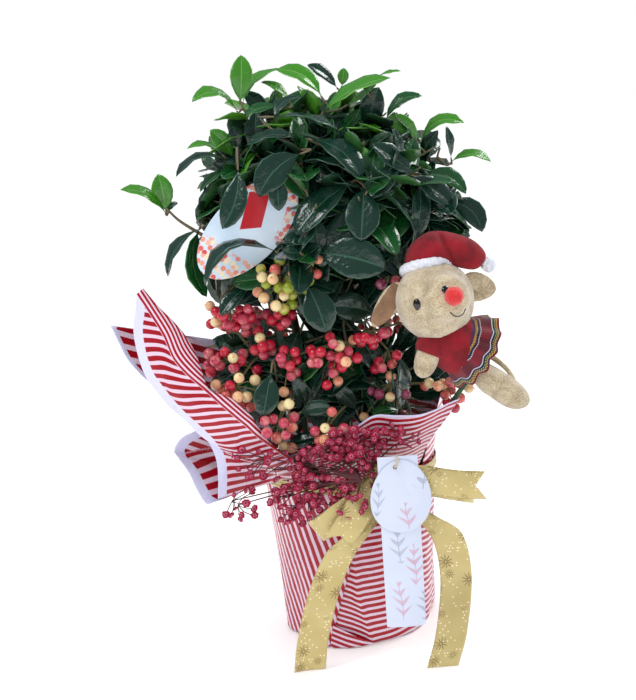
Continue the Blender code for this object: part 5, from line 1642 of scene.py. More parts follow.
def lay_blade(heap, spine, facing, breadth, wave):
    """A leaf over its spine: a pale rib, margins in the same pale green as a painted highlight, two
    arched halves and a keel below.
    """
    points = []
    for index, wide in enumerate(BLADE_WIDTHS):
        ahead = (spine[index + 1] - spine[max(index - 1, 0)]).normalized()
        side = ahead.cross(facing).normalized()
        rise = side.cross(ahead)
        half = breadth / 2 * wide
        ripple = 0.09 * math.sin(index * 2.2 + wave * 5.0)
        for across, height in zip(BLADE_ACROSS, BLADE_RISE):
            points.append(spine[index] + side * (half * across)
                          + rise * (half * (height + ripple * across)))
        points.append(spine[index] - rise * (0.3 * MM + half * 0.06))
    points.append(spine[-1])
    row = len(BLADE_ACROSS) + 1
    across_kinds = (HIGHLIT_MARGIN, FLESH, FLESH, RIB, FLESH, FLESH, HIGHLIT_MARGIN, UNDERSIDE, UNDERSIDE)
    faces = [tuple(range(row))[::-1]]
    kinds = [UNDERSIDE]
    last = (len(BLADE_SHARES) - 1) * row
    for low in range(0, last + 1, row):
        for place, kind in enumerate(across_kinds):
            after = (place + 1) % row
            if low == last:
                faces.append((low + place, low + after, len(points) - 1))
            else:
                faces.append((low + place, low + after, low + row + after, low + row + place))
            kinds.append(kind)
    heap.add(points, faces, kinds)


def drooping_spine(root, ahead, up, length, droop, wave):
    """Straight out from the shoot at first, then bending down and a little aside."""
    side = ahead.cross(up).normalized()
    rise = side.cross(ahead).normalized()
    spine = []
    for share in (*BLADE_SHARES, 1.0):
        bend = droop * share * share
        spine.append(root + ahead * (length * (share - 0.16 * bend)) - rise * (length * bend)
                     + side * (length * 0.04 * wave * math.sin(share * math.pi)))
    return spine


def shoot_axis(tip):
    out = tip - CROWN_CENTRE
    return Vector((out.x * 5.5, out.y * 5.5, 0.62 + max(0.0, out.z) * 3.0)).normalized()


def twig_route(start, start_ahead, tip, axis):
    reach = (tip - start).length
    return [start, start + start_ahead * (reach * 0.25), tip - axis * (reach * 0.3), tip]


def leaf_places(rng, path, count, scale):
    """Root, direction, length and droop of each leaf in a spiral down from a shoot's tip."""
    tip = path[-1]
    axis = (path[-1] - path[-2]).normalized()
    reach = sum((end - start).length for start, end in zip(path, path[1:]))
    zone = min(LEAF_ZONE * scale, reach * 0.8)
    first_turn = rng.uniform(0.0, math.tau)
    side = axis.orthogonal().normalized()
    across = axis.cross(side)
    for index in range(count):
        share = index / (count - 1)
        back_off = mix(1.0 * MM, zone, share)
        root = tip - axis * back_off
        lean = math.radians(mix(20.0, 96.0, share ** 0.7) + rng.uniform(-10.0, 10.0))
        turn = first_turn + GOLDEN_TURN * index
        out = side * math.cos(turn) + across * math.sin(turn)
        ahead = (axis * math.cos(lean) + out * math.sin(lean)).normalized()
        length = LEAF_LENGTH * scale * mix(0.55, 1.0, min(1.0, share * 2.0))
        length *= rng.uniform(0.88, 1.08)
        droop = mix(0.08, 0.36, share) + rng.uniform(-0.05, 0.08)
        yield root, ahead, axis, length, droop


def surface_of(names):
    """One search tree of several CAD nodes, at rest."""
    points = []
    faces = []
    for name in names:
        shift = len(points)
        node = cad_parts[name]
        points += [tuple(node.matrix_world @ corner.co) for corner in node.data.vertices]
        faces += [tuple(index + shift for index in face.vertices)
                  for face in node.data.polygons]
    return BVHTree.FromPolygons(points, faces)


# The picture's own view: a pixel is 0.8 mm at the pot's axis, one metre from the eye

AIM = Vector((-0.0175, 0.0, 0.229))
EYE = AIM + back
PIXEL = 0.8 * MM
MIDDLE_COLUMN, MIDDLE_ROW = 318.0, 350.0


def seen_on(column, row, y):
    """The place that the picture shows at a pixel, so many millimetres in front of the axis."""
    sight = (view_right * ((column - MIDDLE_COLUMN) * PIXEL)
             + view_up * ((MIDDLE_ROW - row) * PIXEL) - back)
    return EYE + sight * ((y * MM - EYE.y) / sight.y)


def picture_place(point):
    offset = point - EYE
    reach = -offset.dot(back) * PIXEL
    return (MIDDLE_COLUMN + offset.dot(view_right) / reach,
            MIDDLE_ROW - offset.dot(view_up) / reach)


def within(outline, column, row):
    inside = False
    for (first_x, first_y), (next_x, next_y) in zip(outline, outline[1:] + outline[:1]):
        if (first_y > row) != (next_y > row):
            crossing = first_x + (next_x - first_x) * (row - first_y) / (next_y - first_y)
            inside ^= column < crossing
    return inside


# The crown's outline in the picture, which the leaves that grow by the rule keep to
CROWN_OUTLINE = [
    (212, 120), (228, 98), (250, 86), (300, 84), (322, 92), (345, 84), (372, 90), (392, 104),
    (412, 112), (432, 132), (448, 152), (452, 178), (464, 200), (472, 226), (468, 270),
    (440, 330), (436, 410), (380, 440), (300, 450), (250, 424), (212, 390), (204, 340),
    (214, 286), (194, 262), (186, 236), (198, 206), (196, 180), (202, 150)]

# The leaves that stand out one by one: foot and tip in the picture, breadth and bow there, how
# far foot and tip lie in front of the axis, and the tint, which paints the light or shade on the
# leaf (bright is partly a younger green too)
SEEN_LEAVES = [
    ((396, 372), (440, 346), 22, 4, 0, -12, "dark"),
    ((404, 392), (452, 380), 22, -5, 0, -14, "dark"),
    ((398, 350), (420, 322), 20, 3, 5, 0, "dark"),
    ((408, 398), (432, 366), 20, 6, 4, -6, "dark"),
    ((440, 396), (462, 366), 17, 4, 2, 4, "dark"),
    ((388, 356), (425, 333), 17, 3, 8, 4, "dark"),
    ((426, 384), (456, 352), 21, 4, 4, 6, "dark"),
    ((284, 447), (320, 437), 13, 2, -58, -64, "dark"),
    ((240, 103), (241, 55), 23, 1, -10, -10, "bright"),
    ((237, 111), (192, 102), 14, 13, -12, -30, "bright"),
    ((243, 102), (282, 69), 13, 8, -5, 10, "bright"),
    ((321, 96), (276, 70), 19, 8, -20, -10, "bright"),
    ((289, 101), (261, 82), 10, 4, 0, 5, "bright"),
    ((337, 88), (307, 65), 14, 3, 5, 0, "dark"),
    ((342, 86), (344, 68), 12, 0, 20, 20, "bright"),
    ((323, 112), (391, 78), 17, 6, -25, -30, "bright"),
    ((378, 76), (401, 71), 5, 1, -22, -24, "bright"),
    ((347, 105), (378, 80), 9, -2, -15, -18, "bright"),
    ((370, 134), (379, 87), 25, -3, -2, -8, "dark"),
    ((386, 120), (422, 96), 13, 8, 5, 0, "middle"),
    ((386, 113), (401, 106), 5, 1, 10, 10, "bright"),
    ((418, 139), (385, 121), 19, 5, -10, -12, "bright"),
    ((421, 141), (464, 123), 14, 11, 0, -10, "bright"),
    ((414, 178), (438, 130), 18, 3, 10, 15, "dark"),
    ((451, 158), (446, 126), 10, 1, 15, 15, "dark"),
    ((451, 162), (491, 162), 11, 8, 0, -4, "bright"),
    ((419, 180), (466, 194), 19, 11, -15, -22, "middle"),
    ((447, 201), (482, 232), 23, 8, -40, -52, "dark"),
    ((233, 157), (210, 130), 18, 2, -5, -8, "bright"),
    ((238, 150), (232, 126), 14, 1, -10, -10, "dark"),
    ((222, 155), (187, 149), 8, 7, -20, -26, "bright"),
    ((235, 164), (176, 177), 11, 13, -25, -42, "dark"),
    ((234, 168), (200, 192), 10, 4, -30, -38, "middle"),
    ((238, 170), (222, 229), 25, -5, -80, -88, "dark"),
    ((300, 154), (259, 197), 31, 6, -72, -82, "dark"),
    ((277, 175), (279, 211), 19, 0, -78, -84, "dark"),
    ((351, 183), (295, 237), 28, 5, -70, -86, "dark"),
    ((364, 187), (361, 241), 34, 0, -76, -94, "dark"),
    ((313, 140), (361, 179), 24, 8, -60, -82, "dark"),
    ((364, 146), (364, 165), 15, 0, -50, -54, "bright"),
    ((274, 117), (340, 132), 10, 6, -50, -58, "dark"),
    ((303, 141), (246, 146), 13, 8, -48, -54, "dark"),
    ((302, 97), (275, 116), 12, 6, -20, -36, "dark"),
    ((282, 107), (244, 115), 12, 3, -22, -28, "middle"),
    ((297, 163), (359, 180), 11, 9, -56, -70, "dark"),
    ((316, 253), (386, 269), 40, 3, -84, -96, "dark"),
    ((275, 251), (205, 286), 14, 21, -84, -94, "dark"),
    ((199, 230), (207, 297), 17, -9, -50, -60, "middle"),
    ((199, 229), (168, 277), 13, 8, -44, -50, "dark"),
    ((421, 181), (417, 237), 21, 1, -46, -58, "dark"),
    ((384, 201), (409, 254), 9, 16, -58, -66, "dark"),
    ((338, 222), (321, 246), 17, 2, -62, -68, "dark"),
    ((166, 214), (120, 190), 12, 8, -20, -28, "bright"),
    ((166, 212), (158, 174), 22, 1, -16, -18, "bright"),
    ((166, 213), (178, 203), 7, 2, -16, -20, "dark"),
    ((455, 236), (478, 263), 15, 3, -20, -26, "dark"),
    ((307, 286), (326, 333), 32, 2, -88, -98, "dark"),
    ((249, 286), (221, 316), 17, 3, -66, -80, "dark"),
    ((271, 373), (263, 417), 25, 0, -84, -94, "dark"),
    ((300, 414), (331, 408), 16, 3, -80, -88, "dark"),
    ((376, 314), (331, 307), 28, 3, -56, -66, "dark"),
    ((356, 410), (333, 386), 17, 2, -62, -70, "dark"),
    ((306, 406), (293, 377), 16, 2, -66, -72, "dark"),
    ((308, 404), (322, 372), 15, 2, -62, -70, "dark"),
    ((388, 392), (362, 379), 9, 3, -60, -66, "dark"),
    ((400, 411), (372, 415), 9, 3, -66, -74, "middle"),
    ((352, 330), (378, 372), 24, 3, -48, -58, "dark"),
    ((300, 330), (288, 366), 22, 2, -50, -60, "dark"),
    ((345, 352), (322, 384), 22, 2, -44, -52, "dark"),
]


# Leaves in the shade behind the berries
SHADE_LEAVES = 260


def seen_leaf(heap, foot, tip, breadth, bow, foot_y, tip_y, wave):
    """A leaf laid where the picture shows it, arched towards the viewer and turned up."""
    start = seen_on(*foot, foot_y)
    end = seen_on(*tip, tip_y)
    line = end - start
    aside = back.cross(line).normalized()
    if aside.dot(view_up) < -0.2 or (abs(aside.dot(view_up)) <= 0.2 and aside.dot(view_right) < 0):
        aside = -aside
    arch = aside * (bow * PIXEL) + back * (line.length * 0.06)
    spine = [mix(start, end, share) + arch * (4.0 * share * (1.0 - share))
             for share in (*BLADE_SHARES, 1.0)]
    true_breadth = max(breadth * PIXEL * 0.94, line.length * 0.44)
    turned = math.acos(clamp(breadth * PIXEL * 0.94 / true_breadth))
    facing = back * math.cos(turned) + aside * math.sin(turned)
    lay_blade(heap, spine, facing, true_breadth, wave)
    return start, spine


def make_foliage(limbs, finishes, bark, shown):
    """Twigs and leaves of every mass, dealt out into dark, middle and bright pieces: one green with
    painted shade and painted light.
    """
    toy = [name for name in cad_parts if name.startswith("toy_") and name != "toy_pick"]
    things = toy + ["plant_label", "wing_front_left", "wing_front_right", "collar_back_left",
                    "collar_back_right", "pleat_left"]
    solid = [surface_of(things)]
    in_view = [surface_of(toy + ["plant_label"])] + [tree_of(piece) for piece in shown]
    low_limit, high_limit = (Vector(corner) for corner in cad_box)
    room = Vector((8.0, 8.0, 12.0)) * MM
    blades = {"dark": Heap(), "middle": Heap(), "bright": Heap()}
    twigs = Heap()
    rng = random.Random(71)
    feet = []
    seen = Heap()
    for foot, tip, breadth, bow, foot_y, tip_y, tint in SEEN_LEAVES:
        wave = rng.uniform(-1.0, 1.0)
        for heap in (blades[tint], seen):
            start, spine = seen_leaf(heap, foot, tip, breadth, bow, foot_y, tip_y, wave)
        feet.append((start, spine[1] - spine[0]))
    seen_tree = BVHTree.FromPolygons([tuple(point) for point in seen.points], seen.faces)
    solid.append(seen_tree)
    in_view.append(seen_tree)

    def free(spine, facing, length):
        before = spine[0]
        for point in spine[2::2]:
            step = point - before
            side = step.cross(facing).normalized()
            for offset in (0.0, 0.18, -0.18):
                start = before + side * (offset * length)
                for tree in solid:
                    if tree.ray_cast(start, step.normalized(), step.length * 1.06)[0] is not None:
                        return False
            if any(tree.ray_cast(point, -back, 0.2)[0] is not None for tree in in_view):
                return False
            if not within(CROWN_OUTLINE, *picture_place(point)):
                return False
            for axis in range(3):
                if not (low_limit[axis] - room[axis] < point[axis]
                        < high_limit[axis] + room[axis]):
                    return False
            before = point
        return True

    def dress_shoot(rng, path, count, scale, tint):
        for root, ahead, axis, length, droop in leaf_places(rng, path, count, scale):
            wave = rng.uniform(-1.0, 1.0)
            kind = tint
            if rng.random() < 0.22:
                kind = {"dark": "middle", "middle": "dark", "bright": "middle"}[tint]
            for attempt in range(5):
                swing = rng.uniform(-0.3, 0.3) * attempt
                tried = Matrix.Rotation(swing, 3, axis) @ ahead
                spine = drooping_spine(root, tried, axis, length, droop, wave)
                if free(spine, axis, length):
                    lay_blade(blades[kind], spine, axis, length * LEAF_WIDTH, wave)
                    break
                length *= 0.95

    nodes_on_twigs = []
    for name, (limb, height, seed, shoots) in MASSES.items():
        rng = random.Random(seed)
        path = limbs[limb]
        if height is None:
            start = path[-1]
            ahead = (path[-1] - path[-2]).normalized()
        else:
            start = limb_point(path, height)
            middle = sum((above_soil(*shoot) for shoot in shoots), Vector()) / len(shoots)
            ahead = (middle - start).normalized()
        fork = start + ahead * (9 * MM)
        twigs.tube([start, mix(start, fork, 0.5), fork], [TWIG_RADIUS * 1.15] * 3, 10)
        inner = height is not None
        for shoot in shoots:
            tip = above_soil(*shoot)
            axis = shoot_axis(tip)
            twig = curve_through(twig_route(mix(start, fork, 0.5), ahead, tip, axis), 16)
            radii = [mix(TWIG_RADIUS, TWIG_TIP, index / 15) for index in range(16)]
            twigs.tube(twig, radii, 8)
            nodes_on_twigs += twig[6:]
            # Painted light: high shoots take the bright tint, as if backlit, and low ones the dark
            # tint of shade; bright is partly a younger green too.
            bright = tip.z > 0.415 or (tip.z > 0.385 and abs(tip.x + 0.01) > 0.075)
            tint = "bright" if bright else "middle" if tip.z > 0.36 else "dark"
            dress_shoot(rng, twig, 9, 1.0, tint)
            turn_side = axis.orthogonal().normalized()
            first = rng.uniform(0.0, math.tau)
            branches = 6 if inner else 3
            for branch in range(branches):
                root = reading(twig, 0.30 + 0.45 * branch / (branches - 1))
                spin = first + branch * 2.2
                out = turn_side * math.cos(spin) + axis.cross(turn_side) * math.sin(spin)
                reach = rng.uniform(20.0, 34.0) * MM
                lean = (out * 0.9 + axis * 0.5 + UP * 0.25).normalized()
                end = root + lean * reach
                if (end - CROWN_CENTRE).length > 0.175:
                    end = root + lean * (reach * 0.5)
                if not within(CROWN_OUTLINE, *picture_place(end)):
                    continue
                side_twig = curve_through([root, mix(root, end, 0.5) - UP * 1.5 * MM, end], 8)
                if solid[0].ray_cast(root, lean, reach * 1.2)[0] is not None:
                    continue
                twigs.tube(side_twig, [mix(1.1, 0.7, index / 7) * MM for index in range(8)], 6)
                nodes_on_twigs += side_twig[3:]
                shade = "dark" if tint == "middle" or rng.random() < 0.5 else tint
                dress_shoot(rng, side_twig, 6, 0.88, shade)
    for limb in ("stem_left", "stem_right", "stem_back"):
        nodes_on_twigs += curve_through(limbs[limb], 24)
    for _ in range(SHADE_LEAVES):
        foot = (rng.uniform(222, 432), rng.uniform(262, 418))
        turn = rng.uniform(0.0, math.tau)
        reach = rng.uniform(44.0, 60.0)
        tip = (foot[0] + reach * math.cos(turn), foot[1] + reach * math.sin(turn))
        y = rng.uniform(-54.0, 22.0)
        trial = Heap()
        start, spine = seen_leaf(trial, foot, tip, reach * rng.uniform(0.34, 0.48), 5, y, y - 8,
                                 rng.uniform(-1.0, 1.0))
        near = min((place - start).length for place in nodes_on_twigs)
        if near < 60 * MM and free(spine, back, 0.04):
            # The shade behind the berries is painted by giving these leaves the dark tint.
            blades["dark"].add(trial.points, trial.faces, trial.kinds)
            feet.append((start, spine[1] - spine[0]))
    for foot, ahead in feet:
        near = min(nodes_on_twigs, key=lambda place: (place - foot).length)
        if (near - foot).length < 70 * MM:
            bend = foot - ahead.normalized() * ((near - foot).length * 0.35)
            stalk = curve_through([near, bend, foot], 10)
            twigs.tube(stalk, [mix(1.1, 0.7, index / 9) * MM for index in range(10)], 6)
    nodes = list(MASSES)
    for kind, heap in blades.items():
        dress(heap.piece("leaves_" + kind, finishes[kind]), None, "leaf", *nodes)
    dress(twigs.piece("leafy_twigs", [bark]), None, "bark", *nodes)


# Berries

BERRY_RADIUS = 4.2 * MM
PEDICEL = 11.5 * MM
BERRIES_AN_UMBEL = 12

BERRY_MASSES = {
    "berries_front_top": ("stem_left", 172, [(-36, -92, 184), (-24, -92, 124), (-30, -84, 168)]),
    "berries_front_left": ("stem_left", 100, [(-78, -58, 154), (-90, -66, 130), (-80, -78, 104),
                                              (-66, -72, 142), (-96, -50, 148), (-62, -82, 122)]),
    "berries_front_mid": ("stem_right", 104, [(11, -92, 136), (-4, -88, 108), (37, -82, 110),
                                              (-14, -86, 134), (26, -84, 124)]),
    "berries_front_low": ("stem_right", 60, [(-32, -80, 82), (-8, -80, 76), (38, -76, 84),
                                             (66, -66, 92), (14, -78, 94), (-52, -76, 98),
                                             (52, -72, 100)]),
    "berries_back_left": ("stem_back", 96, [(-84, 34, 140), (-44, 76, 120), (-66, 58, 134)]),
    "berries_back_right": ("stem_back", 80, [(26, 84, 120), (72, 44, 122), (50, 68, 128)]),
}

# The umbels that show: the mass, the hub in the picture and how far it lies in front of the
# axis, and the places of its berries in the picture
SEEN_UMBELS = [
    ("berries_front_top", (280, 287, -80), {
        "lime": [(280, 260), (261, 269), (309, 263), (309, 281), (305, 289), (288, 288),
                 (289, 279), (279, 288), (266, 284), (292, 304), (292, 295), (284, 309)],
        "cream": [(262, 277), (273, 279), (264, 298), (284, 296), (276, 306)],
        "peach": [(293, 264), (293, 273), (318, 259), (258, 292)],
        "coral": [(275, 270), (317, 274)]}),
    ("berries_front_left", (240, 312, -56), {
        "peach": [(210, 306)], "cream": [(216, 322)],
        "red": [(216, 312), (211, 324), (240, 310), (236, 327), (237, 318), (251, 317),
                (258, 331), (223, 316)],
        "pink": [(248, 309), (243, 319), (228, 325), (246, 325), (256, 324), (246, 332),
                 (267, 314), (260, 315)]}),
    ("berries_front_left", (284, 312, -60), {
        "red": [(279, 314), (291, 315), (281, 326), (272, 320)], "pink": [(286, 322)]}),
    ("berries_front_left", (262, 338, -60), {
        "cream": [(260, 338)], "red": [(263, 347), (270, 345), (255, 350)],
        "pink": [(272, 351), (264, 355)]}),
    ("berries_front_left", (232, 362, -56), {
        "red": [(225, 352), (241, 361), (211, 372), (257, 370), (219, 357)],
        "pink": [(209, 354), (243, 354), (220, 366), (208, 365), (234, 368), (215, 361)],
        "cream": [(233, 358)]}),
    ("berries_front_left", (236, 386, -74), {
        "cream": [(239, 378), (255, 380), (247, 397)], "red": [(230, 386)],
        "peach": [(216, 385), (261, 392), (238, 397)],
        "coral": [(221, 391), (232, 393), (251, 407), (243, 404), (226, 396)]}),
    ("berries_front_mid", (290, 358, -74), {
        "red": [(284, 350), (295, 352), (297, 360), (290, 366)],
        "pink": [(281, 358), (283, 363), (291, 376), (296, 372)],
        "peach": [(284, 392)]}),
    ("berries_front_mid", (314, 352, -78), {
        "red": [(314, 354), (311, 350), (321, 352)], "pink": [(318, 363), (312, 363)]}),
    ("berries_front_mid", (338, 352, -80), {
        "red": [(330, 337), (340, 358), (342, 367), (357, 358), (327, 385), (334, 366)],
        "pink": [(333, 344), (331, 356), (348, 351), (333, 373)],
        "cream": [(339, 346)], "peach": [(346, 362), (338, 381)]}),
    ("berries_front_mid", (367, 331, -74), {
        "red": [(358, 338), (365, 338), (371, 340), (377, 338), (388, 332), (373, 345),
                (361, 342)],
        "pink": [(384, 333), (366, 344), (379, 343)],
        "peach": [(368, 347), (358, 345), (353, 340)]}),
    ("berries_front_mid", (388, 350, -62), {
        "red": [(397, 355), (375, 369), (379, 362)], "coral": [(392, 364)],
        "pink": [(382, 368)], "peach": [(391, 376)]}),
    ("berries_front_mid", (392, 383, -64), {
        "mauve": [(379, 394), (406, 394), (380, 411), (403, 415), (372, 391)],
        "cream": [(390, 397), (364, 417)]}),
    ("berries_front_low", (446, 386, -58), {
        "cream": [(429, 383), (469, 388)], "peach": [(438, 386), (443, 384)],
        "coral": [(425, 386), (460, 398), (445, 395)], "pink": [(450, 382), (455, 408)],
        "red": [(451, 390), (447, 402)]}),
    ("berries_front_low", (278, 424, -86), {
        "pink": [(265, 421), (267, 433), (273, 419), (294, 417), (284, 423), (286, 435)],
        "cream": [(283, 406), (289, 404), (283, 446)], "coral": [(277, 438), (292, 427)],
        "peach": [(292, 448)]}),
    ("berries_front_low", (326, 428, -86), {
        "coral": [(332, 412), (320, 440)], "pink": [(315, 431), (332, 432), (342, 439),
                                                    (344, 429)],
        "cream": [(325, 428)], "peach": [(325, 440)]}),
    ("berries_front_mid", (389, 276, -66), {"mauve": [(381, 284)], "pink": [(396, 281)]}),
]
BACK_SHARES = {"red": 4, "pink": 3, "coral": 3, "cream": 1}

BERRY_COLOURS = {
    "red": ((0.50, 0.008, 0.035), (0.60, 0.060, 0.085)),
    "pink": ((0.50, 0.045, 0.090), (0.64, 0.20, 0.20)),
    "coral": ((0.66, 0.12, 0.11), (0.76, 0.36, 0.24)),
    "peach": ((0.76, 0.42, 0.23), (0.68, 0.17, 0.12)),
    "cream": ((0.78, 0.64, 0.34), (0.76, 0.42, 0.22)),
    "lime": ((0.30, 0.38, 0.030), (0.58, 0.50, 0.13)),
    "mauve": ((0.26, 0.035, 0.095), (0.46, 0.16, 0.22)),
}


def berry(heap, centre, axis, radius, kind):
    """A round fruit of 60 faces; the small dry point at its end is made apart from it."""
    side = axis.orthogonal().normalized()
    across = axis.cross(side)
    rings = 6
    sides = 10
    points = [centre - axis * radius]
    for ring in range(1, rings):
        tilt = math.pi * ring / rings
        for corner in range(sides):
            turn = math.tau * corner / sides
            out = side * math.cos(turn) + across * math.sin(turn)
            points.append(centre + out * (radius * math.sin(tilt)) - axis * (
                radius * 0.96 * math.cos(tilt)))
    points.append(centre + axis * (radius * 1.0))
    faces = [(0, 1 + (corner + 1) % sides, 1 + corner) for corner in range(sides)]
    for ring in range(rings - 2):
        low = 1 + ring * sides
        for corner in range(sides):
            after = (corner + 1) % sides
            faces.append((low + corner, low + after, low + sides + after, low + sides + corner))
    last = 1 + (rings - 2) * sides
    top = len(points) - 1
    faces += [(last + corner, last + (corner + 1) % sides, top) for corner in range(sides)]
    heap.add(points, faces, kind)


def umbel_places(rng, centre, outward, count):
    axis = (outward * 0.75 - UP * 0.55).normalized()
    side = axis.orthogonal().normalized()
    across = axis.cross(side)
    first_turn = rng.uniform(0.0, math.tau)
    for index in range(count):
        tilt = math.acos(1.0 - 1.35 * (index + 0.5) / count)
        turn = first_turn + GOLDEN_TURN * index
        out = side * math.cos(turn) + across * math.sin(turn)
        ahead = axis * math.cos(tilt) + out * math.sin(tilt)
        yield centre + ahead * (PEDICEL * rng.uniform(0.85, 1.35)) - UP * 1.5 * MM


def make_berries(limbs, finishes, stalk_finish, point_finish):
    heaps = {colour: Heap() for colour in BERRY_COLOURS}
    stalks = Heap()
    points = Heap()
    placed = []
    things = [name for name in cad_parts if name.startswith(("toy_", "wing", "collar"))]
    solid = surface_of(things)

    def hang(rng, centre, place, colour):
        """One berry on its stalk, where there is room for it."""
        radius = BERRY_RADIUS * rng.uniform(0.90, 1.08)
        near = min([(place - other).length for other in placed], default=1.0)
        if near < 1.80 * BERRY_RADIUS or solid.find_nearest(place, BERRY_RADIUS * 1.15)[0]:
            return False
        placed.append(place)
        ahead = (place - centre).normalized()
        bend = mix(centre, place, 0.55) + UP * 0.8 * MM
        stalks.tube(curve_through([centre, bend, place - ahead * radius * 0.9], 5),
                    [0.62 * MM, 0.5 * MM, 0.46 * MM, 0.5 * MM, 0.72 * MM], 5)
        berry(heaps[colour], place, ahead, radius, 0)
        points.tube([place + ahead * (radius * 0.93), place + ahead * (radius * 1.14)],
                    [0.55 * MM, 0.14 * MM], 5)
        return True

    for number, (name, (limb, height, umbels)) in enumerate(BERRY_MASSES.items()):
        rng = random.Random(40 + number)
        root = limb_point(limbs[limb], height)
        middle = sum((above_soil(*point) for point in umbels), Vector()) / len(umbels)
        fork = mix(root, middle, 0.45) + UP * (10 * MM)
        stalk = curve_through([root, mix(root, fork, 0.5) + UP * (2 * MM), fork], 12)
        stalks.tube(stalk, [mix(1.7, 1.2, index / 11) * MM for index in range(12)], 8)
        shown = [(seen_on(*hub), hub, fruits) for mass, hub, fruits in SEEN_UMBELS
                 if mass == name]
        hubs = [centre for centre, _, _ in shown] or [above_soil(*point) for point in umbels]
        for centre in hubs:
            branch = curve_through([fork, mix(fork, centre, 0.5) + UP * (6 * MM), centre], 12)
            stalks.tube(branch, [mix(1.1, 0.8, index / 11) * MM for index in range(12)], 8)
        for centre, (column, row, y), fruits in shown:
            for colour, spots in fruits.items():
                for spot in spots:
                    aside = math.hypot(spot[0] - column, spot[1] - row) * PIXEL
                    out = math.sqrt(max(0.0, (16 * MM) ** 2 - aside ** 2)) / MM
                    for nearer in (0.0, 6.0, -6.0, 11.0, -11.0):
                        place = seen_on(*spot, y - out * 0.6 - nearer + rng.uniform(-3, 3))
                        if hang(rng, centre, place, colour):
                            break
        if not shown:
            for centre in hubs:
                outward = Vector((centre.x, centre.y, 0.0)).normalized()
                for place in umbel_places(rng, centre, outward, BERRIES_AN_UMBEL):
                    colour = rng.choices(list(BACK_SHARES), list(BACK_SHARES.values()))[0]
                    hang(rng, centre, place, colour)
    nodes = list(BERRY_MASSES)
    fruit = []
    for colour, heap in heaps.items():
        slot = "berry_green" if colour == "lime" else "berry"
        fruit.append(heap.piece("berries_" + colour, [finishes[colour]]))
        dress(fruit[-1], None, slot, *nodes)
    dress(stalks.piece("berry_stalks", [stalk_finish]), None, "bark", *nodes)
    dress(points.piece("berry_points", [point_finish]), None, "bark", *nodes)
    return fruit


# Dried flowers

# Sprays: middle and reach in the picture, number of blossoms, how far in front of the axis, node
SPRAYS = [
    (338, 470, 44, 30, 96, 108, "dried_flowers_left"),
    (300, 500, 32, 24, 56, 106, "dried_flowers_left"),
    (350, 503, 17, 18, 18, 112, "dried_flowers_left"),
    (262, 462, 34, 18, 18, 104, "dried_flowers_left"),
    (240, 502, 24, 18, 12, 104, "dried_flowers_left"),
    (388, 438, 32, 13, 34, 103, "dried_flowers_right"),
    (352, 446, 34, 17, 46, 106, "dried_flowers_right"),
]


def blossom(heap, centre, facing, radius, rng):
    """A tuft of two rings of narrow wedge petals, paler inside."""
    side = facing.orthogonal().normalized()
    across = facing.cross(side)
    first = rng.uniform(0.0, math.tau)
    for count, reach, lean, wide, kind in ((7, 1.0, 0.25, 0.42, 0), (5, 0.66, 0.95, 0.36, 1)):
        for petal in range(count):
            turn = first + math.tau * petal / count + kind * 0.4
            out = side * math.cos(turn) + across * math.sin(turn)
            tangent = facing.cross(out).normalized()
            ahead = (out + facing * lean).normalized()
            tip = centre + ahead * (radius * reach * rng.uniform(0.85, 1.1))
            middle = mix(centre, tip, 0.72)
            left = middle + tangent * (radius * wide)
            right = middle - tangent * (radius * wide)
            below = middle - facing * (radius * 0.22)
            corners = [centre, left, tip, right, below]
            faces = [(0, 3, 2, 1), (0, 1, 4), (1, 2, 4), (2, 3, 4), (3, 0, 4)]
            heap.add(corners, faces, kind)


def make_dried(petal_finishes, twig_finish):
    starts = {"dried_flowers_right": millimetres(13.9, -100.3, 158.5),
              "dried_flowers_left": millimetres(5, -111, 154)}
    heads = {name: Heap() for name in starts}
    stems = {name: Heap() for name in starts}
    rng = random.Random(57)
    placed = []
    for column, row, wide, tall, count, depth, node in SPRAYS:
        start = starts[node]
        middle = seen_on(column, row, -depth + 8)
        hubs = []
        for index in range(max(2, count // 8)):
            turn = rng.uniform(0.0, math.tau)
            reach = rng.uniform(0.1, 0.55)
            hub = seen_on(column + wide * reach * math.cos(turn),
                          row + tall * reach * math.sin(turn), -depth + 9 + rng.uniform(-2, 3))
            bend = mix(start, hub, 0.55) + Vector((0.0, -2.0, 3.0)) * MM
            stems[node].tube(curve_through([start, bend, hub], 9),
                             [mix(0.8, 0.45, step / 8) * MM for step in range(9)], 5)
            hubs.append(hub)
        made = 0
        for _ in range(count * 12):
            if made >= count:
                break
            turn = rng.uniform(0.0, math.tau)
            reach = math.sqrt(rng.random())
            head = seen_on(column + wide * reach * math.cos(turn),
                           row + tall * reach * math.sin(turn), -depth + rng.uniform(-5.0, 9.0))
            radius = rng.uniform(2.2, 4.0) * MM
            if min([(head - other).length for other in placed], default=1.0) < 3.9 * MM:
                continue
            made += 1
            placed.append(head)
            hub = min(hubs, key=lambda place: (place - head).length)
            bend = mix(hub, head, 0.5) + Vector([rng.uniform(-2.0, 2.0) for _ in range(3)]) * MM
            stems[node].tube(curve_through([hub, bend, head], 5), [0.38 * MM] * 5, 4)
            facing = (back * 0.9 + Vector([rng.uniform(-1.0, 1.0) for _ in range(3)]) * 0.9
                      + (head - middle).normalized() * 0.5).normalized()
            blossom(heads[node], head, facing, radius, rng)
    for node in starts:
        dress(heads[node].piece(node + "_heads", petal_finishes), None, "dried", node)
        dress(stems[node].piece(node + "_stems", [twig_finish]), None, "dried", node)


# Pot and soil

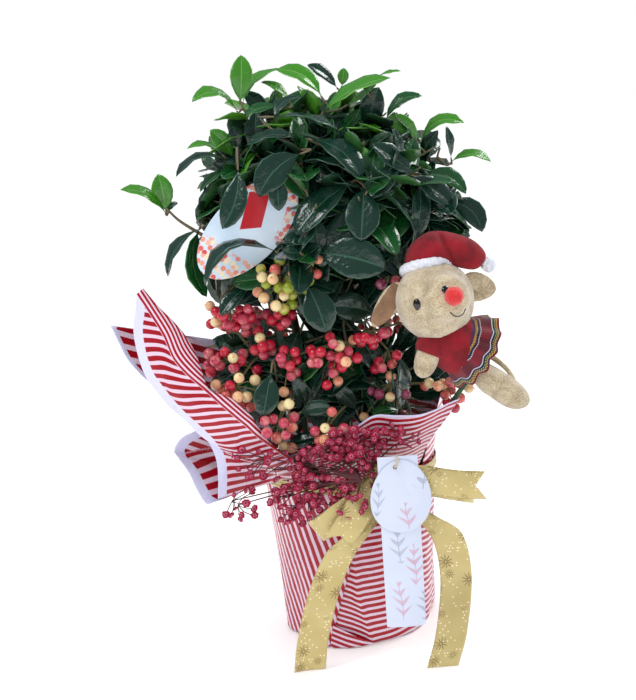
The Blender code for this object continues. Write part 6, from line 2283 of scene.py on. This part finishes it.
def make_soil(compost):
    floor = 1.5 * MM + 2.0 * MM + 0.3 * MM
    low = 50.4 * MM
    high = 60.3 * MM
    soil = primitive("cylinder", "compost", vertices=96, radius=1.0, depth=1.0,
                     end_fill_type="NGON", location=(0.0, 0.0, 0.5))
    seat(soil)
    focus(soil)
    for face in soil.data.polygons:
        face.select = face.normal.z > 0.9
    bpy.ops.object.mode_set(mode="EDIT")
    bpy.ops.mesh.select_mode(type="FACE")
    for _ in range(14):
        bpy.ops.mesh.inset(thickness=0.062, depth=0.0)
    bpy.ops.object.mode_set(mode="OBJECT")
    for corner in soil.data.vertices:
        p = corner.co
        across = math.hypot(p.x, p.y)
        if p.z > 0.5:
            place = Vector((p.x * high, p.y * high, 0.0))
            lumps = noise.noise(place * 160.0) * 1.4 + noise.noise(place * 420.0) * 0.9
            corner.co = place
            corner.co.z = SOIL_LEVEL - 2.2 * MM * across ** 3 + (lumps - 0.8) * MM * (
                1.0 - 0.5 * across)
        else:
            corner.co = Vector((p.x * low, p.y * low, floor))
    soften(soil, 60)
    rng = random.Random(5)
    lumps = Heap()
    for _ in range(420):
        turn = rng.uniform(0.0, math.tau)
        reach = math.sqrt(rng.random()) * 57.0 * MM
        size = rng.uniform(0.8, 2.4) * MM
        centre = Vector((reach * math.cos(turn), reach * math.sin(turn),
                         SOIL_LEVEL - 0.9 * MM + size * 0.2))
        corners = []
        for ring, (tilt, count) in enumerate(((0.5, 4), (1.4, 5), (2.4, 4))):
            for corner in range(5):
                spin = math.tau * corner / 5 + ring * 0.5
                grow = size * rng.uniform(0.7, 1.2)
                corners.append(centre + Vector((math.sin(tilt) * math.cos(spin),
                                                math.sin(tilt) * math.sin(spin),
                                                math.cos(tilt) * 0.7)) * grow)
        faces = [tuple(range(5)), tuple(range(14, 9, -1))]
        for ring in range(2):
            base = ring * 5
            for corner in range(5):
                after = (corner + 1) % 5
                faces.append((base + corner, base + 5 + corner, base + 5 + after, base + after))
        lumps.add(corners, faces)
    crumbs = lumps.piece("compost_crumbs", [compost])
    dress(soil, compost, "soil", "soil")
    dress(crumbs, None, "soil", "soil")


# Making it all

film = paper_finish()
# A dark, greyed pink that paints the shade on the right wing's front fold.
fold_shade_film = cloth_finish("fold_shade_film", (0.30, 0.08, 0.11), (0.48, 0.17, 0.22), 120.0, 0.0003, 0.35,
                         0.0)
satin = ribbon_finish()
white = white_plastic()
make_sleeve(film)
make_collar(film, fold_shade_film)
make_bow(satin)
GREY_LILAC = (0.20, 0.20, 0.32)
OLD_ROSE = (0.52, 0.16, 0.26)
tag_print = card_finish("tag_print", TAG_CENTRE, (
    (-0.017, 0.013, -0.014, GREY_LILAC), (0.005, -0.004, -0.026, OLD_ROSE),
    (0.015, 0.016, 0.004, GREY_LILAC)))
card_print = card_finish("card_print", CARD_TOP, (
    (-0.002, -0.052, -0.082, GREY_LILAC), (0.007, -0.066, -0.100, OLD_ROSE),
    (-0.004, -0.094, -0.126, OLD_ROSE), (0.010, -0.104, -0.128, GREY_LILAC)))
# The stake's very dark green stands in for the shade that hides it in the crown.
make_cards(tag_print, card_print,
           (white, label_finish(), plain_finish("stake_in_shade", (0.02, 0.06, 0.03), 0.5)),
           cloth_finish("twine", (0.36, 0.28, 0.17), (0.66, 0.56, 0.40), 2600.0, 0.0002))
# Its last number darkens the pile's low places, a painted shade.
plush = cloth_finish("plush_beige", (0.34, 0.25, 0.14), (0.66, 0.56, 0.38), 1100.0, 0.0009,
                     0.95, 0.7, 90.0, 0.35)
make_toy(plush,
         cloth_finish("ear_felt", (0.20, 0.105, 0.055), (0.30, 0.17, 0.095), 900.0, 0.0004),
         gloss_black(),
         cloth_finish("thread", (0.012, 0.010, 0.010), (0.05, 0.04, 0.04), 3000.0, 0.0001),
         cloth_finish("felt_red", (0.13, 0.001, 0.006), (0.30, 0.003, 0.014), 1300.0, 0.0005,
                      0.95, 0.06),
         cloth_finish("fleece", (0.62, 0.66, 0.78), (0.90, 0.91, 0.96), 700.0, 0.0016),
         tartan_finish(),
         cloth_finish("pompom_red", (0.62, 0.010, 0.012), (0.85, 0.035, 0.035), 900.0, 0.0012))

bark = bark_finish()
limbs = make_limbs(bark)
# One leaf green in three copies: dark paints shade, bright paints backlight and is partly a younger
# green. Each gives flesh, rib and underside; the rib green also paints a highlight on the margins.
LEAF_TINTS = {"dark": ((0.003, 0.028, 0.017), (0.026, 0.090, 0.052), (0.012, 0.055, 0.024)),
              "middle": ((0.006, 0.068, 0.014), (0.050, 0.170, 0.045), (0.025, 0.120, 0.022)),
              "bright": ((0.040, 0.215, 0.008), (0.130, 0.360, 0.050), (0.075, 0.290, 0.016))}
leaf_finishes = {
    tint: [leaf_finish("leaf_" + tint, flesh, 0.24), leaf_finish("rib_" + tint, rib, 0.30),
           leaf_finish("under_" + tint, under, 0.45)]
    for tint, (flesh, rib, under) in LEAF_TINTS.items()}
berry_finishes = {name: berry_finish("berry_" + name, *colours)
                  for name, colours in BERRY_COLOURS.items()}
fruit = make_berries(limbs, berry_finishes, plain_finish("stalk_green", (0.16, 0.15, 0.06), 0.6),
                     plain_finish("berry_point", (0.10, 0.05, 0.02), 0.7))
make_foliage(limbs, leaf_finishes, bark, fruit)
make_dried([plain_finish("petal_raspberry", (0.46, 0.010, 0.065), 0.75),
            plain_finish("petal_rose", (0.72, 0.17, 0.27), 0.75)],
           plain_finish("dried_stem", (0.10, 0.025, 0.03), 0.8))
make_soil(soil_finish())
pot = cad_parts["pot"]
pot.data.materials.clear()
pot.data.materials.append(pot_finish())
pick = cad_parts["toy_pick"]
pick.data.materials.clear()
pick.data.materials.append(cloth_finish("pick_green", (0.012, 0.035, 0.014),
                                        (0.030, 0.075, 0.025), 300.0, 0.0003, 0.6, 0.0))


# Floor, light and camera

deselect()
floor = primitive("circle", "floor", vertices=96, radius=12.0, fill_type="NGON")
floor_finish = Finish("floor_white", (0.96, 0.96, 0.96), 0.9, specular_ior_level=0.0,
                      emission_color=(1.0, 1.0, 1.0, 1.0), emission_strength=0.10)
floor.data.materials.append(floor_finish.material)

scene = bpy.context.scene
scene.view_settings.view_transform = "Standard"
world = bpy.data.worlds.new("soft")
world.use_nodes = True
sky = world.node_tree
sky.nodes["Background"].inputs["Color"].default_value = (1.0, 1.0, 1.0, 1.0)
sky.nodes["Background"].inputs["Strength"].default_value = 1.0
dim = sky.nodes.new("ShaderNodeBackground")
dim.inputs["Color"].default_value = (0.80, 0.92, 1.0, 1.0)
dim.inputs["Strength"].default_value = 0.28
rays = sky.nodes.new("ShaderNodeLightPath")
blend = sky.nodes.new("ShaderNodeMixShader")
sky.links.new(rays.outputs["Is Glossy Ray"], blend.inputs["Fac"])
sky.links.new(sky.nodes["Background"].outputs[0], blend.inputs[1])
sky.links.new(dim.outputs[0], blend.inputs[2])
sky.links.new(blend.outputs[0], sky.nodes["World Output"].inputs["Surface"])
scene.world = world
for place, size, power in (((-0.8, -0.5, 1.5), 0.5, 9.0), ((0.9, 0.5, 1.3), 0.5, 9.0)):
    bpy.ops.object.light_add(type="AREA", location=place)
    lamp = bpy.context.object
    lamp.data.size = size
    lamp.data.energy = power
    lamp.rotation_mode = "QUATERNION"
    lamp.rotation_quaternion = (Vector((0.0, 0.0, 0.2)) - Vector(place)).to_track_quat("-Z", "Y")

lens = bpy.data.cameras.new("camera")
lens.lens = 64.2857
lens.sensor_width = 36.0
lens.sensor_fit = "AUTO"
eye = bpy.data.objects.new("camera", lens)
scene.collection.objects.link(eye)
turn = Matrix((view_right, view_up, back)).transposed().to_4x4()
eye.matrix_world = Matrix.Translation(AIM + back) @ turn
scene.camera = eye
